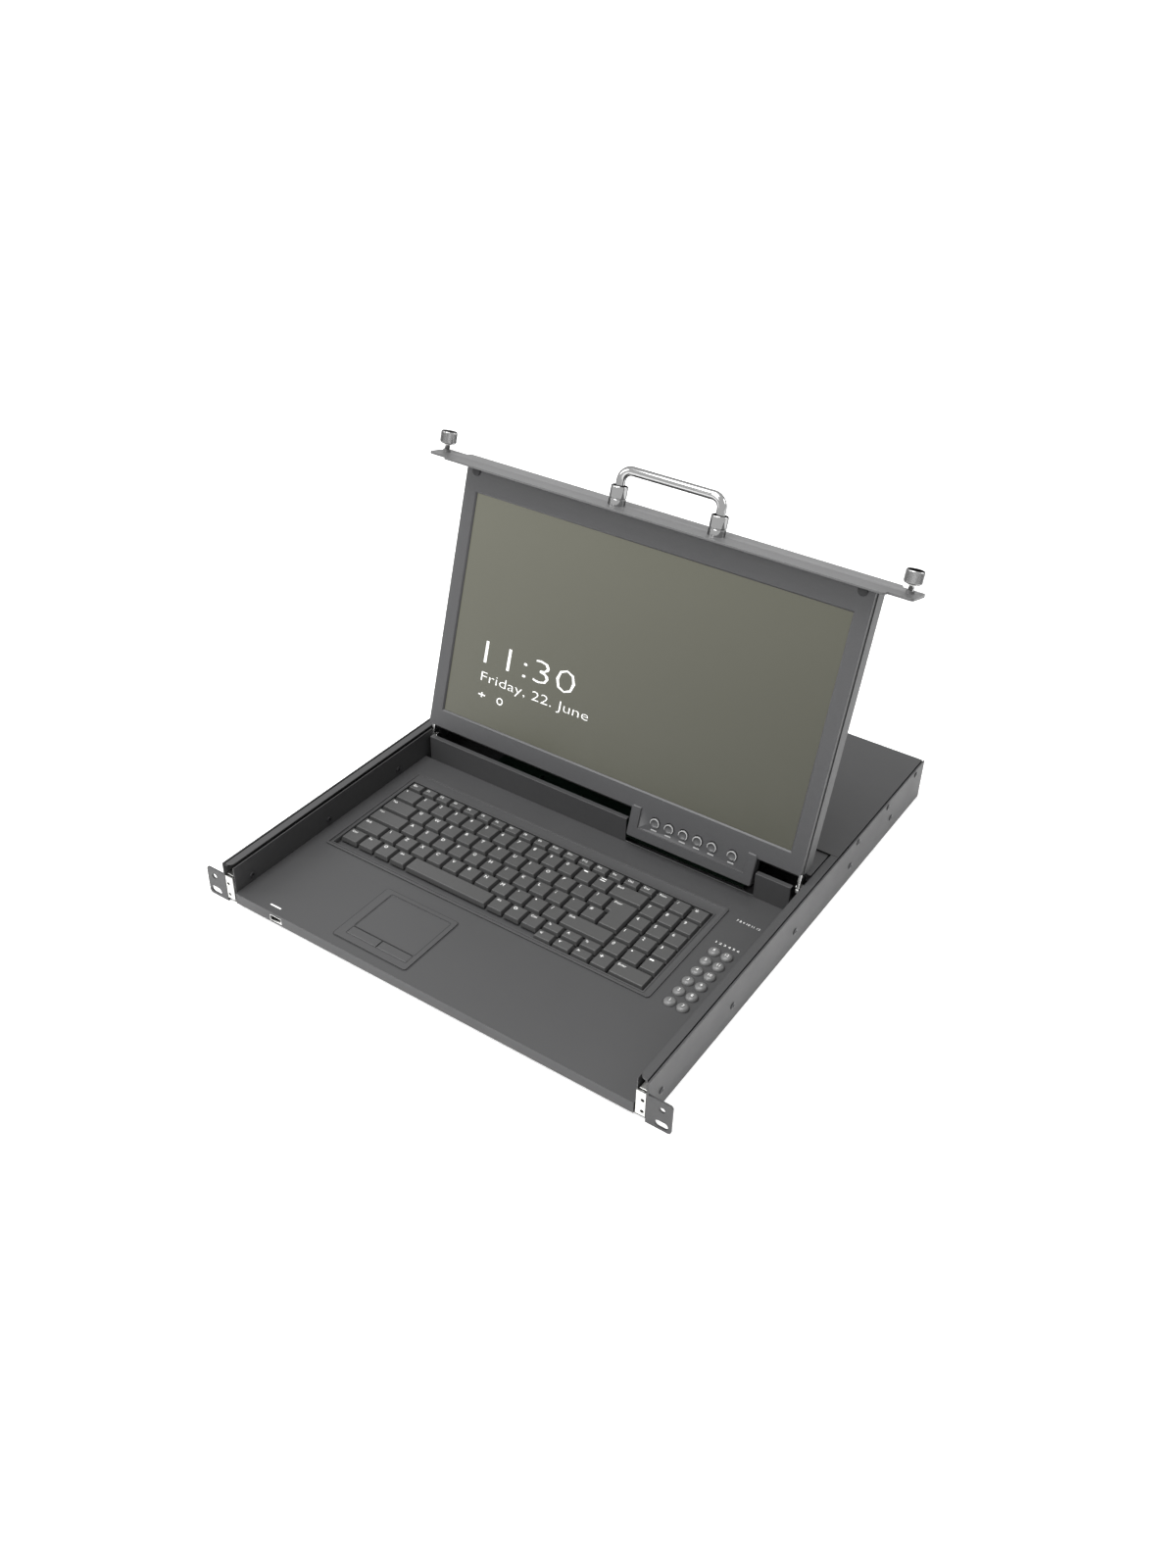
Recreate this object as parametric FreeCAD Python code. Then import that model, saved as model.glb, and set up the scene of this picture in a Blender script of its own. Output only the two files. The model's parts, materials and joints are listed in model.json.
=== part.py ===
"""Rack-mounted LCD console drawer, one rack unit high.

A chassis with rack ears carries a drawer on two telescopic ball slides. The drawer holds a keyboard, a
touchpad and two columns of port buttons. A hinged lid with an LCD panel stands up behind the keyboard, folds
flat over it and carries the front bar with its handle and two captive thumbscrews.

Frame: X to the right, Y to the back, Z up. Y = 0 is the rear face of the rack ears. While the pieces are
made, Z = 0 is the lower edge of the rack unit; write_node then lowers them, so that the origin of the
written parts lies midway between the two ear slots.
Lid pieces are made lying flat in lid axes: x to the right, v from the hinge end to the front bar, and w out
of the screen, with v = 0 and w = 0 on the lower front edge of the lid. stand_up turns them to their place.
Bearings are true cylinders. Small round details, such as screw heads and push buttons, are prisms on a
regular outline, which keeps the parts light.
"""
import FreeCAD
import Part
import math
import os

V = FreeCAD.Vector
X_AXIS = V(1, 0, 0)
Y_AXIS = V(0, 1, 0)
Z_AXIS = V(0, 0, 1)
PAST = 1.0                    # a cutter's reach beyond the face it cuts

# ---- Main sizes ----
RACK_WIDTH = 482.6            # over both ears
CHASSIS_DEPTH = 511.0
TRAY_DEPTH = 340.0
LID_HEIGHT = 261.0

# ---- Rack interface ----
SLOT_INSET = 8.75             # of a slot centre from the end of its ear
SLOT_HEIGHT = 6.35            # of a slot centre above the rack unit's lower edge
SLOT_LENGTH = 12.0
SLOT_WIDTH = 7.0
EAR_REACH = 21.3              # of an ear beyond the chassis wall
EAR_SHEET = 2.0
EAR_HEIGHT = 30.0
EAR_CORNER = 3.0

# ---- Chassis ----
CHASSIS_HEIGHT = 43.0
CHASSIS_FLOOR = 0.6           # clearance under the chassis inside the rack unit
PAN_FRONT = 1.0
WALL_SHEET = 1.5
SHEET = 1.2
GROOVE_WIDTH = 1.2            # between a side wall and the top flange beside it
GROOVE_DEPTH = 2.5
FLANGE_WIDTH = 7.0
FLANGE_CORNER = 5.0
COVER_LAP = 18.0              # of the rear cover over the drawer's rear end
COVER_SKIRT = 9.0
SKIRT_GAP = 4.0               # drawer's rear wall to the cover's skirts
COVER_SCREW_INSET = 20.0
COVER_SCREW_DROP = 5.6        # cover screws under the chassis top
SEAM = 0.3                    # gap between neighbouring covers

# ---- Ball slides ----
SLIDE_THICK = 9.0
SLIDE_SHEET = 1.2
SLIDE_BOTTOM = 4.5
SLIDE_HEIGHT = 27.0
SLIDE_NEST = 0.4              # between the webs of two nested members
BALL_GAP = 2.3                # height of the ball track between two members
CAGE_PLAY = 0.15
OUTER_MEMBER_FRONT = 0.6
OUTER_MEMBER_INSET = 57.0     # its rear end before the chassis' rear face
MID_MEMBER_FRONT = 1.6
MID_MEMBER_INSET = 28.0       # its rear end before the outer member's
INNER_MEMBER_INSET = 20.0     # its rear end before the drawer's rear wall
OUTER_CAGE = (88.0, 238.0)
INNER_CAGE = (90.0, 235.0)
OUTER_CAGE_OFFSET = 4.2       # cage centre beside the drawer wall
INNER_CAGE_OFFSET = 3.6
CAGE_WIDTH = 3.0
END_PLATE_LIFT = 0.1          # front plate behind the front face of the ears
END_PLATE_SIDE = 0.5          # front plate to the chassis wall
END_PLATE_TRIM = 1.0          # front plate inside the outer member, above and below
END_HOLE_RADIUS = 1.7
END_HOLE_INSET = 3.2
END_HOLE_HEIGHTS = (4.0, -8.0)  # above and below the middle of the slide

# ---- Drawer ----
TRAY_BOTTOM = 2.1
WALL_TOP = 40.9
DECK_TOP = 14.6
LIP_BOTTOM = 3.4
DECK_PLAY = 0.3
STEP_AHEAD = 12.7             # wall behind the keyboard, before the hinge axis
STEP_INSET = 6.0              # its ends inside the lid's
STEP_FLANGE = 5.0
STEP_FOOT = 9.0
STEP_TOP = 41.0
REAR_DECK_BEHIND = 11.8       # rear deck behind the hinge axis
REAR_DECK_TOP = 42.1
REAR_DECK_LIP = 7.0

# ---- Lid ----
LID_INSET = 13.0              # lid inside the chassis, at each side
LID_THICK = 20.5
LID_LEAN = 16.3               # backwards from upright, in degrees
LID_FACE_CLOSED = 21.6        # height of the screen side with the lid closed
LID_CORNER = 1.2
HINGE_INSET = 12.3            # hinge axis behind the screen side
HINGE_DROP = 15.5             # hinge axis below the lid's lower edge
BEZEL_DEPTH = 5.2
BEZEL_SHEET = 2.0
BEZEL_INSET = 1.0             # bezel inside the outline of the back cover, sideways
BEZEL_TRIM = 0.8              # and at its upper and lower edges
BEZEL_CORNER = 1.5
SCREEN_SIDE = 15.5            # bezel width beside the screen
SCREEN_BOTTOM = 19.4          # bezel height under the screen
SCREEN_ABOVE = 25.6           # bezel height over the screen
SCREEN_BEVEL = 1.4
PANEL_MARGIN = (7.5, 9.6)     # LCD panel beyond the visible screen, sideways and up
PANEL_THICK = 8.0
BUMPER_INSET = (12.0, 6.0)    # from the lid's side and from the front bar
BUMPER_RADIUS = 4.4
BUMPER_PROUD = 1.3
BUMPER_EDGE = 0.5

# ---- Control pod on the lid ----
POD_INSET = 43.0              # its right end from the lid's side
POD_LENGTH = 130.5
POD_DROP = 27.0
POD_DEPTH = 8.0
POD_CORNER = 1.5
POD_RIM = 1.5
POD_RIM_EDGE = 0.7
POD_RIM_TOP = 4.0
POD_PANEL = (10.0, 121.5)     # sunk panel along the pod
POD_PANEL_BOTTOM = -16.5
POD_SHEET = 2.0
POD_BUTTONS = (26.2, 41.3, 56.3, 71.2, 86.1, 106.8)  # along the pod
POD_BUTTON_V = -5.2
POD_BUTTON_RADIUS = 4.7
POD_BUTTON_PROUD = 1.3
POD_BUTTON_EDGE = 0.8
POD_BUTTON_DEPTH = 2.2        # under the pod's sheet
HOOK_WIDTH = 3.6
HOOK_REACH = 1.2
HOOK_GAP = 0.2
OSD_BOARD_LIFT = 0.4
NOTCH_BOTTOM = 16.0
NOTCH_PLAY = 2.2

# ---- Front bar, handle and thumbscrews ----
BAR_THICK = 3.0
BAR_GAP = 0.3                 # bar to rack ears with the lid closed
BAR_TOP_CLOSED = 44.0
BAR_FOLD_W = 2.0
BAR_TAPER = 1.2
BAR_CORNER = 3.0
HANDLE_X = 9.0
HANDLE_W = 3.5
HANDLE_SPACING = 100.0
HANDLE_ROD = 4.2
HANDLE_REACH = 35.7           # bar face to the outside of the grip
HANDLE_BEND = 10.0
COLLAR_RADIUS = 7.6
COLLAR_LENGTH = 17.0
COLLAR_EDGE = 1.2
THUMB_HEIGHT = 22.225         # middle hole of the rack unit
STUD_RADIUS = 2.5
STUD_PLAY = 0.05
STUD_RETREAT = 0.2            # stud end before the rear face of the bar
KNOB_RADIUS = 7.75
KNOB_LENGTH = 11.0
KNOB_LIFT = 8.0               # knob above the bar when loose
KNOB_EDGE = 0.8
FERRULE_RADIUS = 3.6
FERRULE_LENGTH = 2.5
THUMB_FEED = 4.0
CLIP_THICK = 0.6
CLIP_PLAY = 0.05
GROOVE_CUT = 0.6              # depth of the clip's groove in the stud

# ---- Hinge ----
ARM_SHEET = 3.0
ARM_EYE = 6.5
ARM_REACH = 30.0
ARM_CORNER = 1.5
ARM_TRIM = 1.5                # arm's lower face inside its eye
ARM_PLAY = 0.2
ARM_COVER_GAP = 0.4           # arm to the bezel
PIN_RADIUS = 2.5
PIN_PLAY = 0.05
PIN_HEAD = 4.0
PIN_SHOULDER = 4.5
PIN_HEAD_THICK = 1.2
PIN_END_PLAY = 0.3

# ---- Keyboard, with the widths of its keys in key units ----
KEYS_INSET = 21.3             # left key edge from the drawer wall
KEYS_INSET_RIGHT = 58.51      # right key edge from the drawer wall
KEYS_FRONT = 110.1
ROW_PITCH = 19.26
MAIN_UNITS = 15.29
FUNCTION_COUNT = 17
FUNCTION_DEPTH = 12.1
NUMBER_FIRST_UNITS = 1.30
TAB_UNITS = 1.80
CAPS_UNITS = 2.09
SHIFT_UNITS = 1.60
MODIFIER_UNITS = (1.11, 1.01, 1.01, 1.01)
SPACE_UNITS = 4.99
NUMPAD_UNITS = 0.995
ARROW_UNITS = 1.047
NUMPAD_ROWS = 6
NUMPAD_FRONT = 103.0
KEY_GAP = 1.6
KEY_TOP = 17.0
KEY_BOTTOM_GAP = 0.1          # cap to guide plate with the key pressed
KEY_TAPER = 1.3
KEY_TRAVEL = 2.0
POST_SIZE = 4.0
POST_PLAY = 0.3
POST_BOTTOM = 9.0
PLATE_TOP = 10.6
PLATE_THICK = 1.0
SURROUND_TOP = 15.9
SURROUND_BESIDE = (7.0, 8.71)   # left of the keys and right of them
SURROUND_Y = (98.0, 234.0)
SURROUND_CORNER = 3.0
BEAD_DEPTH = 0.7
BEAD_OUTSIDE = 2.4
BEAD_INSIDE = 1.4
KEY_WELL_PLAY = 0.6

# ---- Touchpad ----
PAD_FRAME_X = (-103.0, -23.5)
PAD_FRAME_Y = (8.6, 80.5)
PAD_FRAME_CORNER = 2.5
PAD_X = (-94.5, -28.5)
PAD_Y = (26.2, 76.0)
PAD_CORNER = 1.5
PAD_RECESS = 0.6
PAD_BUTTON_Y = (15.4, 25.4)
PAD_SPLIT = -61.5
PAD_PROUD = 1.0
PAD_HOUSING_INSET = 2.0
PAD_HOUSING_DEPTH = 6.0
PAD_BUTTON_DEPTH = 2.6
PAD_BUTTON_PROUD = 0.3
PAD_BUTTON_EDGE = 0.5
PAD_BUTTON_TRAVEL = 0.5

# ---- Port buttons ----
PORT_INSETS = (33.6, 21.3)    # of both columns from the right drawer wall
PORT_FIRST_Y = 105.0
PORT_PITCH = 14.56
PORT_COUNT = 6
PORT_RADIUS = 5.5
PORT_PRESSED = 2.0            # above the deck when pressed
PORT_EDGE = 1.6
PORT_DEPTH = 1.4              # under the deck's sheet
PORT_TRAVEL = 1.0
BUTTON_PLAY = 0.3
BUTTON_SIDES = 16
DETAIL_SIDES = 12

# ---- Front USB socket ----
USB_INSET = 47.8              # from the left drawer wall
USB_CENTRE_HEIGHT = 8.3
USB_SIZE = (13.6, 6.0, 14.0)  # width, height, depth
USB_WALL = 0.5
USB_PLAY = 0.2
USB_BACK = 3.0
USB_TONGUE = (1.2, 1.6, 1.0)  # side gap, thickness, gap above
USB_STAND_INSET = 2.0

# ---- Rear side ----
JACK_PITCH = 13.97
JACK_COUNT = 6
JACK_BLOCK_INSETS = (71.5, 166.5)  # of the block centres from the left chassis wall
JACK_BOTTOM = 9.6
JACK_SIZE = (13.4, 21.0)      # height and depth of a jack block
JACK_MOUTH = (11.7, 8.4, 14.0)
JACK_FLOOR = 2.0
VIDEO_X = 40.0
VIDEO_SIZE = (31.0, 12.6, 14.0)  # width, height, depth
SHELL_HALF = (7.0, 8.3, 4.0)     # half widths below and above, half height
SHELL_PROUD = 5.5
JACKSCREW = (12.5, 2.4, 4.5)     # offset, radius, length
JACKSCREW_SIDES = 6
REAR_USB_OFFSET = 32.0
REAR_USB_SIZE = (14.6, 15.0, 17.0)  # width, height, depth
REAR_USB_MOUTH = (12.2, 5.0, 9.0)
REAR_USB_FLOOR = 1.0
REAR_USB_TONGUE = (10.8, 1.8, 2.6)  # width, thickness, height above the mouth's floor
INLET_INSET = 28.5            # from the right chassis wall
INLET_HEIGHT = 22.0
INLET_FLANGE = (48.0, 24.0, 3.0)
INLET_CORNER = 6.0
INLET_MOUTH = (24.0, 16.4, 17.0)
INLET_MOUTH_CORNER = 4.5
INLET_FLOOR = 2.0
INLET_PINS = ((-7.0, -1.0), (0.0, 3.0), (7.0, -1.0))
INLET_PIN = (2.0, 4.0, 1.0)   # width, height, retreat of the tips
INLET_HOLE = (20.0, 1.7)      # offset and radius
SWITCH_INSET = 73.5           # from the right chassis wall
SWITCH_SIZE = (19.0, 13.0, 15.0)
SWITCH_RIM = (1.5, 1.8)       # beyond the housing and in front of the panel
SWITCH_WALL = 1.4
SWITCH_CAVITY = 9.0
SWITCH_TILT = 8.0
ROCKER_PIN_RADIUS = 1.0
ROCKER_PIN_DEPTH = 1.0
ROCKER_FACE = 2.4
ROCKER_BACK = (4.6, 2.4)      # at the middle and at the ends
ROCKER_PLAY = 0.4
ROCKER_SHORT = 2.0            # at each end of the rocker

# ---- Boards and power supply ----
BOARD_THICK = 1.6
BOARD_POST = (2.5, 6.0)       # radius, and inset from the board's edges
POST_SIDES = 6
SWITCH_BOARD_DEPTH = 71.0     # from the chassis' rear face
SWITCH_BOARD_GAP = 2.2
SWITCH_BOARD_INSET = 18.5     # from the left chassis wall
SWITCH_BOARD_BEYOND = 44.0    # its right end beyond the video socket
CONTROL_BOARD_X = (-150.0, 150.0)
CONTROL_BOARD_BOTTOM = 6.4
CONTROL_BOARD_GAPS = (14.5, 8.0)  # behind the hinge wall and before the drawer's rear wall
LCD_BOARD_X = (-60.0, 60.0)
LCD_BOARD_V = (40.0, 120.0)
LCD_BOARD_LIFT = 3.4
CHIP = 2.4                    # height of a chip on its board
COIL = 5.0
SUPPLY_GAPS = (20.0, 31.0)    # behind the drawer and before the chassis' rear face
SUPPLY_BESIDE = (50.0, 18.5)  # from the video socket and from the right chassis wall
SUPPLY_HEIGHT = 31.0
VENT_COUNT = 8
VENT_INSET = 20.0
VENT_WIDTH = 4.0
VENT_DEPTH = 1.5

# ---- Screws ----
SCREW_RADIUS = 3.2
SCREW_HEAD = 1.0
SLIDE_SCREW_FIRST = 18.0
SLIDE_SCREW_PITCH = 110.0
SLIDE_SCREW_COUNT = 4         # before the one at the rear end
SLIDE_SCREW_END = 16.0
DRAWER_SCREW_FIRST = 20.0
DRAWER_SCREW_PITCH = 100.0
DRAWER_SCREW_COUNT = 3        # before the one at the rear end
DRAWER_SCREW_END = 20.0

# ---- Derived places ----
CHASSIS_WIDTH = RACK_WIDTH - 2 * EAR_REACH
HALF = CHASSIS_WIDTH / 2
INNER = HALF - WALL_SHEET                     # inside face of a chassis wall
CHASSIS_TOP = CHASSIS_FLOOR + CHASSIS_HEIGHT
COVER_FRONT = TRAY_DEPTH - COVER_LAP
SLOT_SPACING = RACK_WIDTH - 2 * SLOT_INSET
SLOT_X = SLOT_SPACING / 2
SLIDE_INNER = INNER - SLIDE_THICK             # outside face of the drawer wall
DRAWER_WALL = SLIDE_INNER - SHEET             # inside face of the drawer wall
SLIDE_MID_HEIGHT = SLIDE_BOTTOM + SLIDE_HEIGHT / 2
SLIDE_TOP = SLIDE_BOTTOM + SLIDE_HEIGHT
NEST_STEP = SLIDE_SHEET + BALL_GAP
OUTER_Z = (SLIDE_BOTTOM, SLIDE_TOP)
MID_Z = (SLIDE_BOTTOM + NEST_STEP, SLIDE_TOP - NEST_STEP)
INNER_Z = (SLIDE_BOTTOM + 2 * NEST_STEP, SLIDE_TOP - 2 * NEST_STEP)
MID_WEB = INNER - SLIDE_SHEET - SLIDE_NEST
OUTER_MEMBER = (OUTER_MEMBER_FRONT, CHASSIS_DEPTH - OUTER_MEMBER_INSET)
MID_MEMBER = (MID_MEMBER_FRONT, OUTER_MEMBER[1] - MID_MEMBER_INSET)
END_PLATE = (END_PLATE_LIFT - EAR_SHEET, END_PLATE_LIFT - EAR_SHEET + SHEET)
INNER_MEMBER = (END_PLATE[1], TRAY_DEPTH - INNER_MEMBER_INSET)
LID_HALF = HALF - LID_INSET
SCREEN_HALF = LID_HALF - SCREEN_SIDE
SCREEN_V = (SCREEN_BOTTOM, LID_HEIGHT - SCREEN_ABOVE)
BAR_V = LID_HEIGHT                            # rear face of the front bar
BAR_FACE = BAR_V + BAR_THICK
HINGE_Y = BAR_V + HINGE_DROP - EAR_SHEET - BAR_GAP
HINGE_Z = LID_FACE_CLOSED + HINGE_INSET
STEP_FRONT = HINGE_Y - STEP_AHEAD
STEP_HALF = LID_HALF - STEP_INSET
REAR_DECK_FRONT = HINGE_Y + REAR_DECK_BEHIND
BAR_LOW_W = LID_FACE_CLOSED - BAR_TOP_CLOSED
BAR_HIGH_W = LID_FACE_CLOSED - CHASSIS_FLOOR
THUMB_W = LID_FACE_CLOSED - THUMB_HEIGHT
CLIP_V = BAR_FACE + FERRULE_LENGTH + THUMB_FEED + 2 * CLIP_PLAY  # clear of the ferrule when fed in
ARM_OUTER = LID_HALF - SHEET
ARM_W = (ARM_TRIM - HINGE_INSET - ARM_EYE, -BEZEL_DEPTH - ARM_COVER_GAP)
POD_X = (LID_HALF - POD_INSET - POD_LENGTH, LID_HALF - POD_INSET)
PAD_WELL_DEPTH = PAD_BUTTON_DEPTH + PAD_BUTTON_TRAVEL + BUTTON_PLAY
PORT_TOP = DECK_TOP + PORT_PRESSED + PORT_TRAVEL
KEY_SKIRT = PLATE_TOP + KEY_TRAVEL + KEY_BOTTOM_GAP
DECK_BOTTOM = DECK_TOP - SHEET
DECK_HALF = DRAWER_WALL - DECK_PLAY
KEYS_LEFT = KEYS_INSET - DRAWER_WALL
KEYS_RIGHT = DRAWER_WALL - KEYS_INSET_RIGHT
KEY_UNIT = (KEYS_RIGHT - KEYS_LEFT) / (MAIN_UNITS + 3 * NUMPAD_UNITS)
MAIN_RIGHT = KEYS_LEFT + MAIN_UNITS * KEY_UNIT
NUMPAD_PITCH = NUMPAD_UNITS * KEY_UNIT
ARROW_PITCH = ARROW_UNITS * KEY_UNIT
ARROWS_LEFT = MAIN_RIGHT - 3 * ARROW_PITCH
SPACE_LEFT = KEYS_LEFT + sum(MODIFIER_UNITS) * KEY_UNIT
FUNCTION_FRONT = KEYS_FRONT + 5 * ROW_PITCH
KEYS_BACK = FUNCTION_FRONT + FUNCTION_DEPTH
NUMPAD_ROW = (KEYS_BACK - NUMPAD_FRONT) / NUMPAD_ROWS
KEY_WELL_X = (KEYS_LEFT - KEY_WELL_PLAY, KEYS_RIGHT + KEY_WELL_PLAY)
KEY_WELL_Y = (NUMPAD_FRONT - KEY_WELL_PLAY, KEYS_BACK + KEY_WELL_PLAY)
SURROUND_X = (KEYS_LEFT - SURROUND_BESIDE[0], KEYS_RIGHT + SURROUND_BESIDE[1])
USB_X = USB_INSET - DRAWER_WALL
JACK_BLOCKS_X = (JACK_BLOCK_INSETS[0] - INNER, JACK_BLOCK_INSETS[1] - INNER)
JACK_BLOCK_HALF = JACK_PITCH * JACK_COUNT / 2
INLET_X = INNER - INLET_INSET
SWITCH_X = INNER - SWITCH_INSET


# ---- Making solids ----
def box(x_span, y_span, z_span):
    """A box from its three spans."""
    size = (x_span[1] - x_span[0], y_span[1] - y_span[0], z_span[1] - z_span[0])
    return Part.makeBox(size[0], size[1], size[2], V(x_span[0], y_span[0], z_span[0]))


def tapered(x_span, y_span, z_span, inset):
    """A block on a foot of the given spans, narrower at its top by an inset on all four sides."""
    x_low, x_high = x_span
    y_low, y_high = y_span
    block = Part.makeWedge(x_low, z_span[0], -y_high, inset - y_high, x_low + inset,
                           x_high, z_span[1], -y_low, -y_low - inset, x_high - inset)
    block.rotate(V(0, 0, 0), X_AXIS, 90)
    return block


def rod(radius, foot, length, direction):
    """A cylinder that starts at foot."""
    return Part.makeCylinder(radius, length, foot, direction)


def face_on(points):
    """A flat face on a closed outline."""
    return Part.Face(Part.makePolygon(points + [points[0]]))


def prism(points, reach):
    """A straight prism on a closed outline."""
    return face_on(points).extrude(reach)


def regular(radius, foot, direction, sides):
    """Corners of a regular outline around foot, square to a direction."""
    turn = FreeCAD.Rotation(Z_AXIS, direction)
    points = []
    for index in range(sides):
        angle = 2 * math.pi * index / sides
        points.append(foot + turn.multVec(V(radius * math.cos(angle), radius * math.sin(angle), 0)))
    return points


def sided(radius, foot, length, direction, sides=DETAIL_SIDES):
    """A small round detail as a prism on a regular outline."""
    return prism(regular(radius, foot, direction, sides), direction * length)


def button(radius, foot, length, edge, direction, sides=BUTTON_SIDES):
    """A round button whose far end is bevelled all round."""
    body = sided(radius, foot, length, direction, sides)
    far = (foot + direction * length).dot(direction)
    rim = [item for item in body.Edges if abs(item.CenterOfMass.dot(direction) - far) < 0.001]
    return body.makeChamfer(edge, rim)


def rounded(shape, radius, axis):
    """The shape with its straight edges along one axis rounded."""
    return shape.makeFillet(radius, edges_along(shape, axis))


def bevelled(shape, size, axis):
    """The shape with its straight edges along one axis bevelled."""
    return shape.makeChamfer(size, edges_along(shape, axis))


def edges_along(shape, axis):
    """Straight edges of a shape that run parallel to an axis."""
    straight = [edge for edge in shape.Edges if isinstance(edge.Curve, Part.Line)]
    return [edge for edge in straight if abs(edge.tangentAt(edge.FirstParameter).dot(axis)) > 0.999]


def mirrored(shape):
    """The shape on the other side of the middle plane."""
    return shape.mirror(V(0, 0, 0), X_AXIS)


def both(shape):
    """The shape and its mirror image as two solids."""
    return Part.makeCompound([shape, mirrored(shape)])


def joined(shapes):
    """Several touching shapes as one solid."""
    return shapes[0].fuse(shapes[1:]).removeSplitter()


def grown(span, by):
    """A span made longer by the same length at each end."""
    return (span[0] - by, span[1] + by)


def around(centre, size):
    """A span of a size with its middle on a centre."""
    return (centre - size / 2, centre + size / 2)


def slot(centre, length, width, depth):
    """A cutter for a slot that runs along X through a sheet square to Y."""
    x_span = around(centre.x, length - width)
    cutters = [rod(width / 2, V(x, centre.y - depth, centre.z), 2 * depth, Y_AXIS) for x in x_span]
    middle = box(x_span, (centre.y - depth, centre.y + depth), around(centre.z, width))
    return joined(cutters + [middle])


def stand_up(shape):
    """A lid piece turned from lid axes to its place above the drawer."""
    upright = shape.copy()
    upright.translate(V(0, HINGE_DROP, HINGE_INSET))
    upright.rotate(V(0, 0, 0), X_AXIS, 90 - LID_LEAN)
    upright.translate(V(0, HINGE_Y, HINGE_Z))
    return upright


# ---- Chassis ----
def rail_right():
    """Side wall with its folded top flange and the rack ear bent out of its front edge."""
    wall = box((INNER, HALF), (-EAR_SHEET, CHASSIS_DEPTH), (CHASSIS_FLOOR, CHASSIS_TOP))
    fold_outer = INNER - GROOVE_WIDTH
    groove_floor = CHASSIS_TOP - GROOVE_DEPTH
    tip = fold_outer - FLANGE_WIDTH
    section = [(INNER, groove_floor), (fold_outer, groove_floor), (fold_outer, CHASSIS_TOP),
               (tip, CHASSIS_TOP), (tip, CHASSIS_TOP - SHEET), (fold_outer - SHEET, CHASSIS_TOP - SHEET),
               (fold_outer - SHEET, groove_floor - SHEET), (INNER, groove_floor - SHEET)]
    fold = prism([V(x, 0, z) for x, z in section], V(0, COVER_FRONT - SEAM, 0))
    corner = box((tip, tip + FLANGE_CORNER), (0, FLANGE_CORNER), (groove_floor, CHASSIS_TOP))
    corner = corner.cut(rod(FLANGE_CORNER, V(tip + FLANGE_CORNER, FLANGE_CORNER, groove_floor),
                            GROOVE_DEPTH, Z_AXIS))
    ear = box((INNER, RACK_WIDTH / 2), (-EAR_SHEET, 0), (CHASSIS_FLOOR, CHASSIS_FLOOR + EAR_HEIGHT))
    outer = [edge for edge in edges_along(ear, Y_AXIS) if edge.CenterOfMass.x > HALF]
    ear = ear.makeFillet(EAR_CORNER, outer)
    rail = joined([wall, fold.cut(corner), ear])
    rail = rail.cut(slot(V(SLOT_X, 0, SLOT_HEIGHT), SLOT_LENGTH, SLOT_WIDTH, 2 * EAR_SHEET))
    return rail.cut(rod(STUD_RADIUS + STUD_PLAY, V(SLOT_X, -2 * EAR_SHEET, THUMB_HEIGHT),
                        4 * EAR_SHEET, Y_AXIS))


def chassis_pan():
    """Floor of the chassis between the side walls."""
    return box((-INNER, INNER), (PAN_FRONT, CHASSIS_DEPTH - SHEET), (CHASSIS_FLOOR, CHASSIS_FLOOR + SHEET))


def rear_cover():
    """Top cover behind the drawer, with skirts screwed to the side walls through pressed dimples."""
    half = INNER - GROOVE_WIDTH
    top = box((-half, half), (COVER_FRONT, CHASSIS_DEPTH), (CHASSIS_TOP - SHEET, CHASSIS_TOP))
    skirt = box((half - SHEET, half), (TRAY_DEPTH + SKIRT_GAP, CHASSIS_DEPTH - SHEET),
                (CHASSIS_TOP - COVER_SKIRT, CHASSIS_TOP - SHEET))
    pieces = [top, skirt, mirrored(skirt)]
    for y, z in cover_screw_places():
        dimple = sided(SCREW_RADIUS, V(half, y, z), GROOVE_WIDTH, X_AXIS)
        pieces += [dimple, mirrored(dimple)]
    return joined(pieces)


def cover_screw_places():
    """Places of the cover screws on a side wall."""
    ends = (TRAY_DEPTH + COVER_SCREW_INSET, CHASSIS_DEPTH - COVER_SCREW_INSET)
    return [(y, CHASSIS_TOP - COVER_SCREW_DROP) for y in (ends[0], sum(ends) / 2, ends[1])]


def slide_screw_places():
    """Places of the screws that hold the outer slide members."""
    places = [SLIDE_SCREW_FIRST + index * SLIDE_SCREW_PITCH for index in range(SLIDE_SCREW_COUNT)]
    return [(y, SLIDE_MID_HEIGHT) for y in places + [OUTER_MEMBER[1] - SLIDE_SCREW_END]]


def chassis_screws():
    """Heads of the slide screws and cover screws on the outside of the walls."""
    heads = []
    for y, z in slide_screw_places() + cover_screw_places():
        head = sided(SCREW_RADIUS, V(HALF, y, z), SCREW_HEAD, X_AXIS)
        heads += [head, mirrored(head)]
    return Part.makeCompound(heads)


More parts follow.
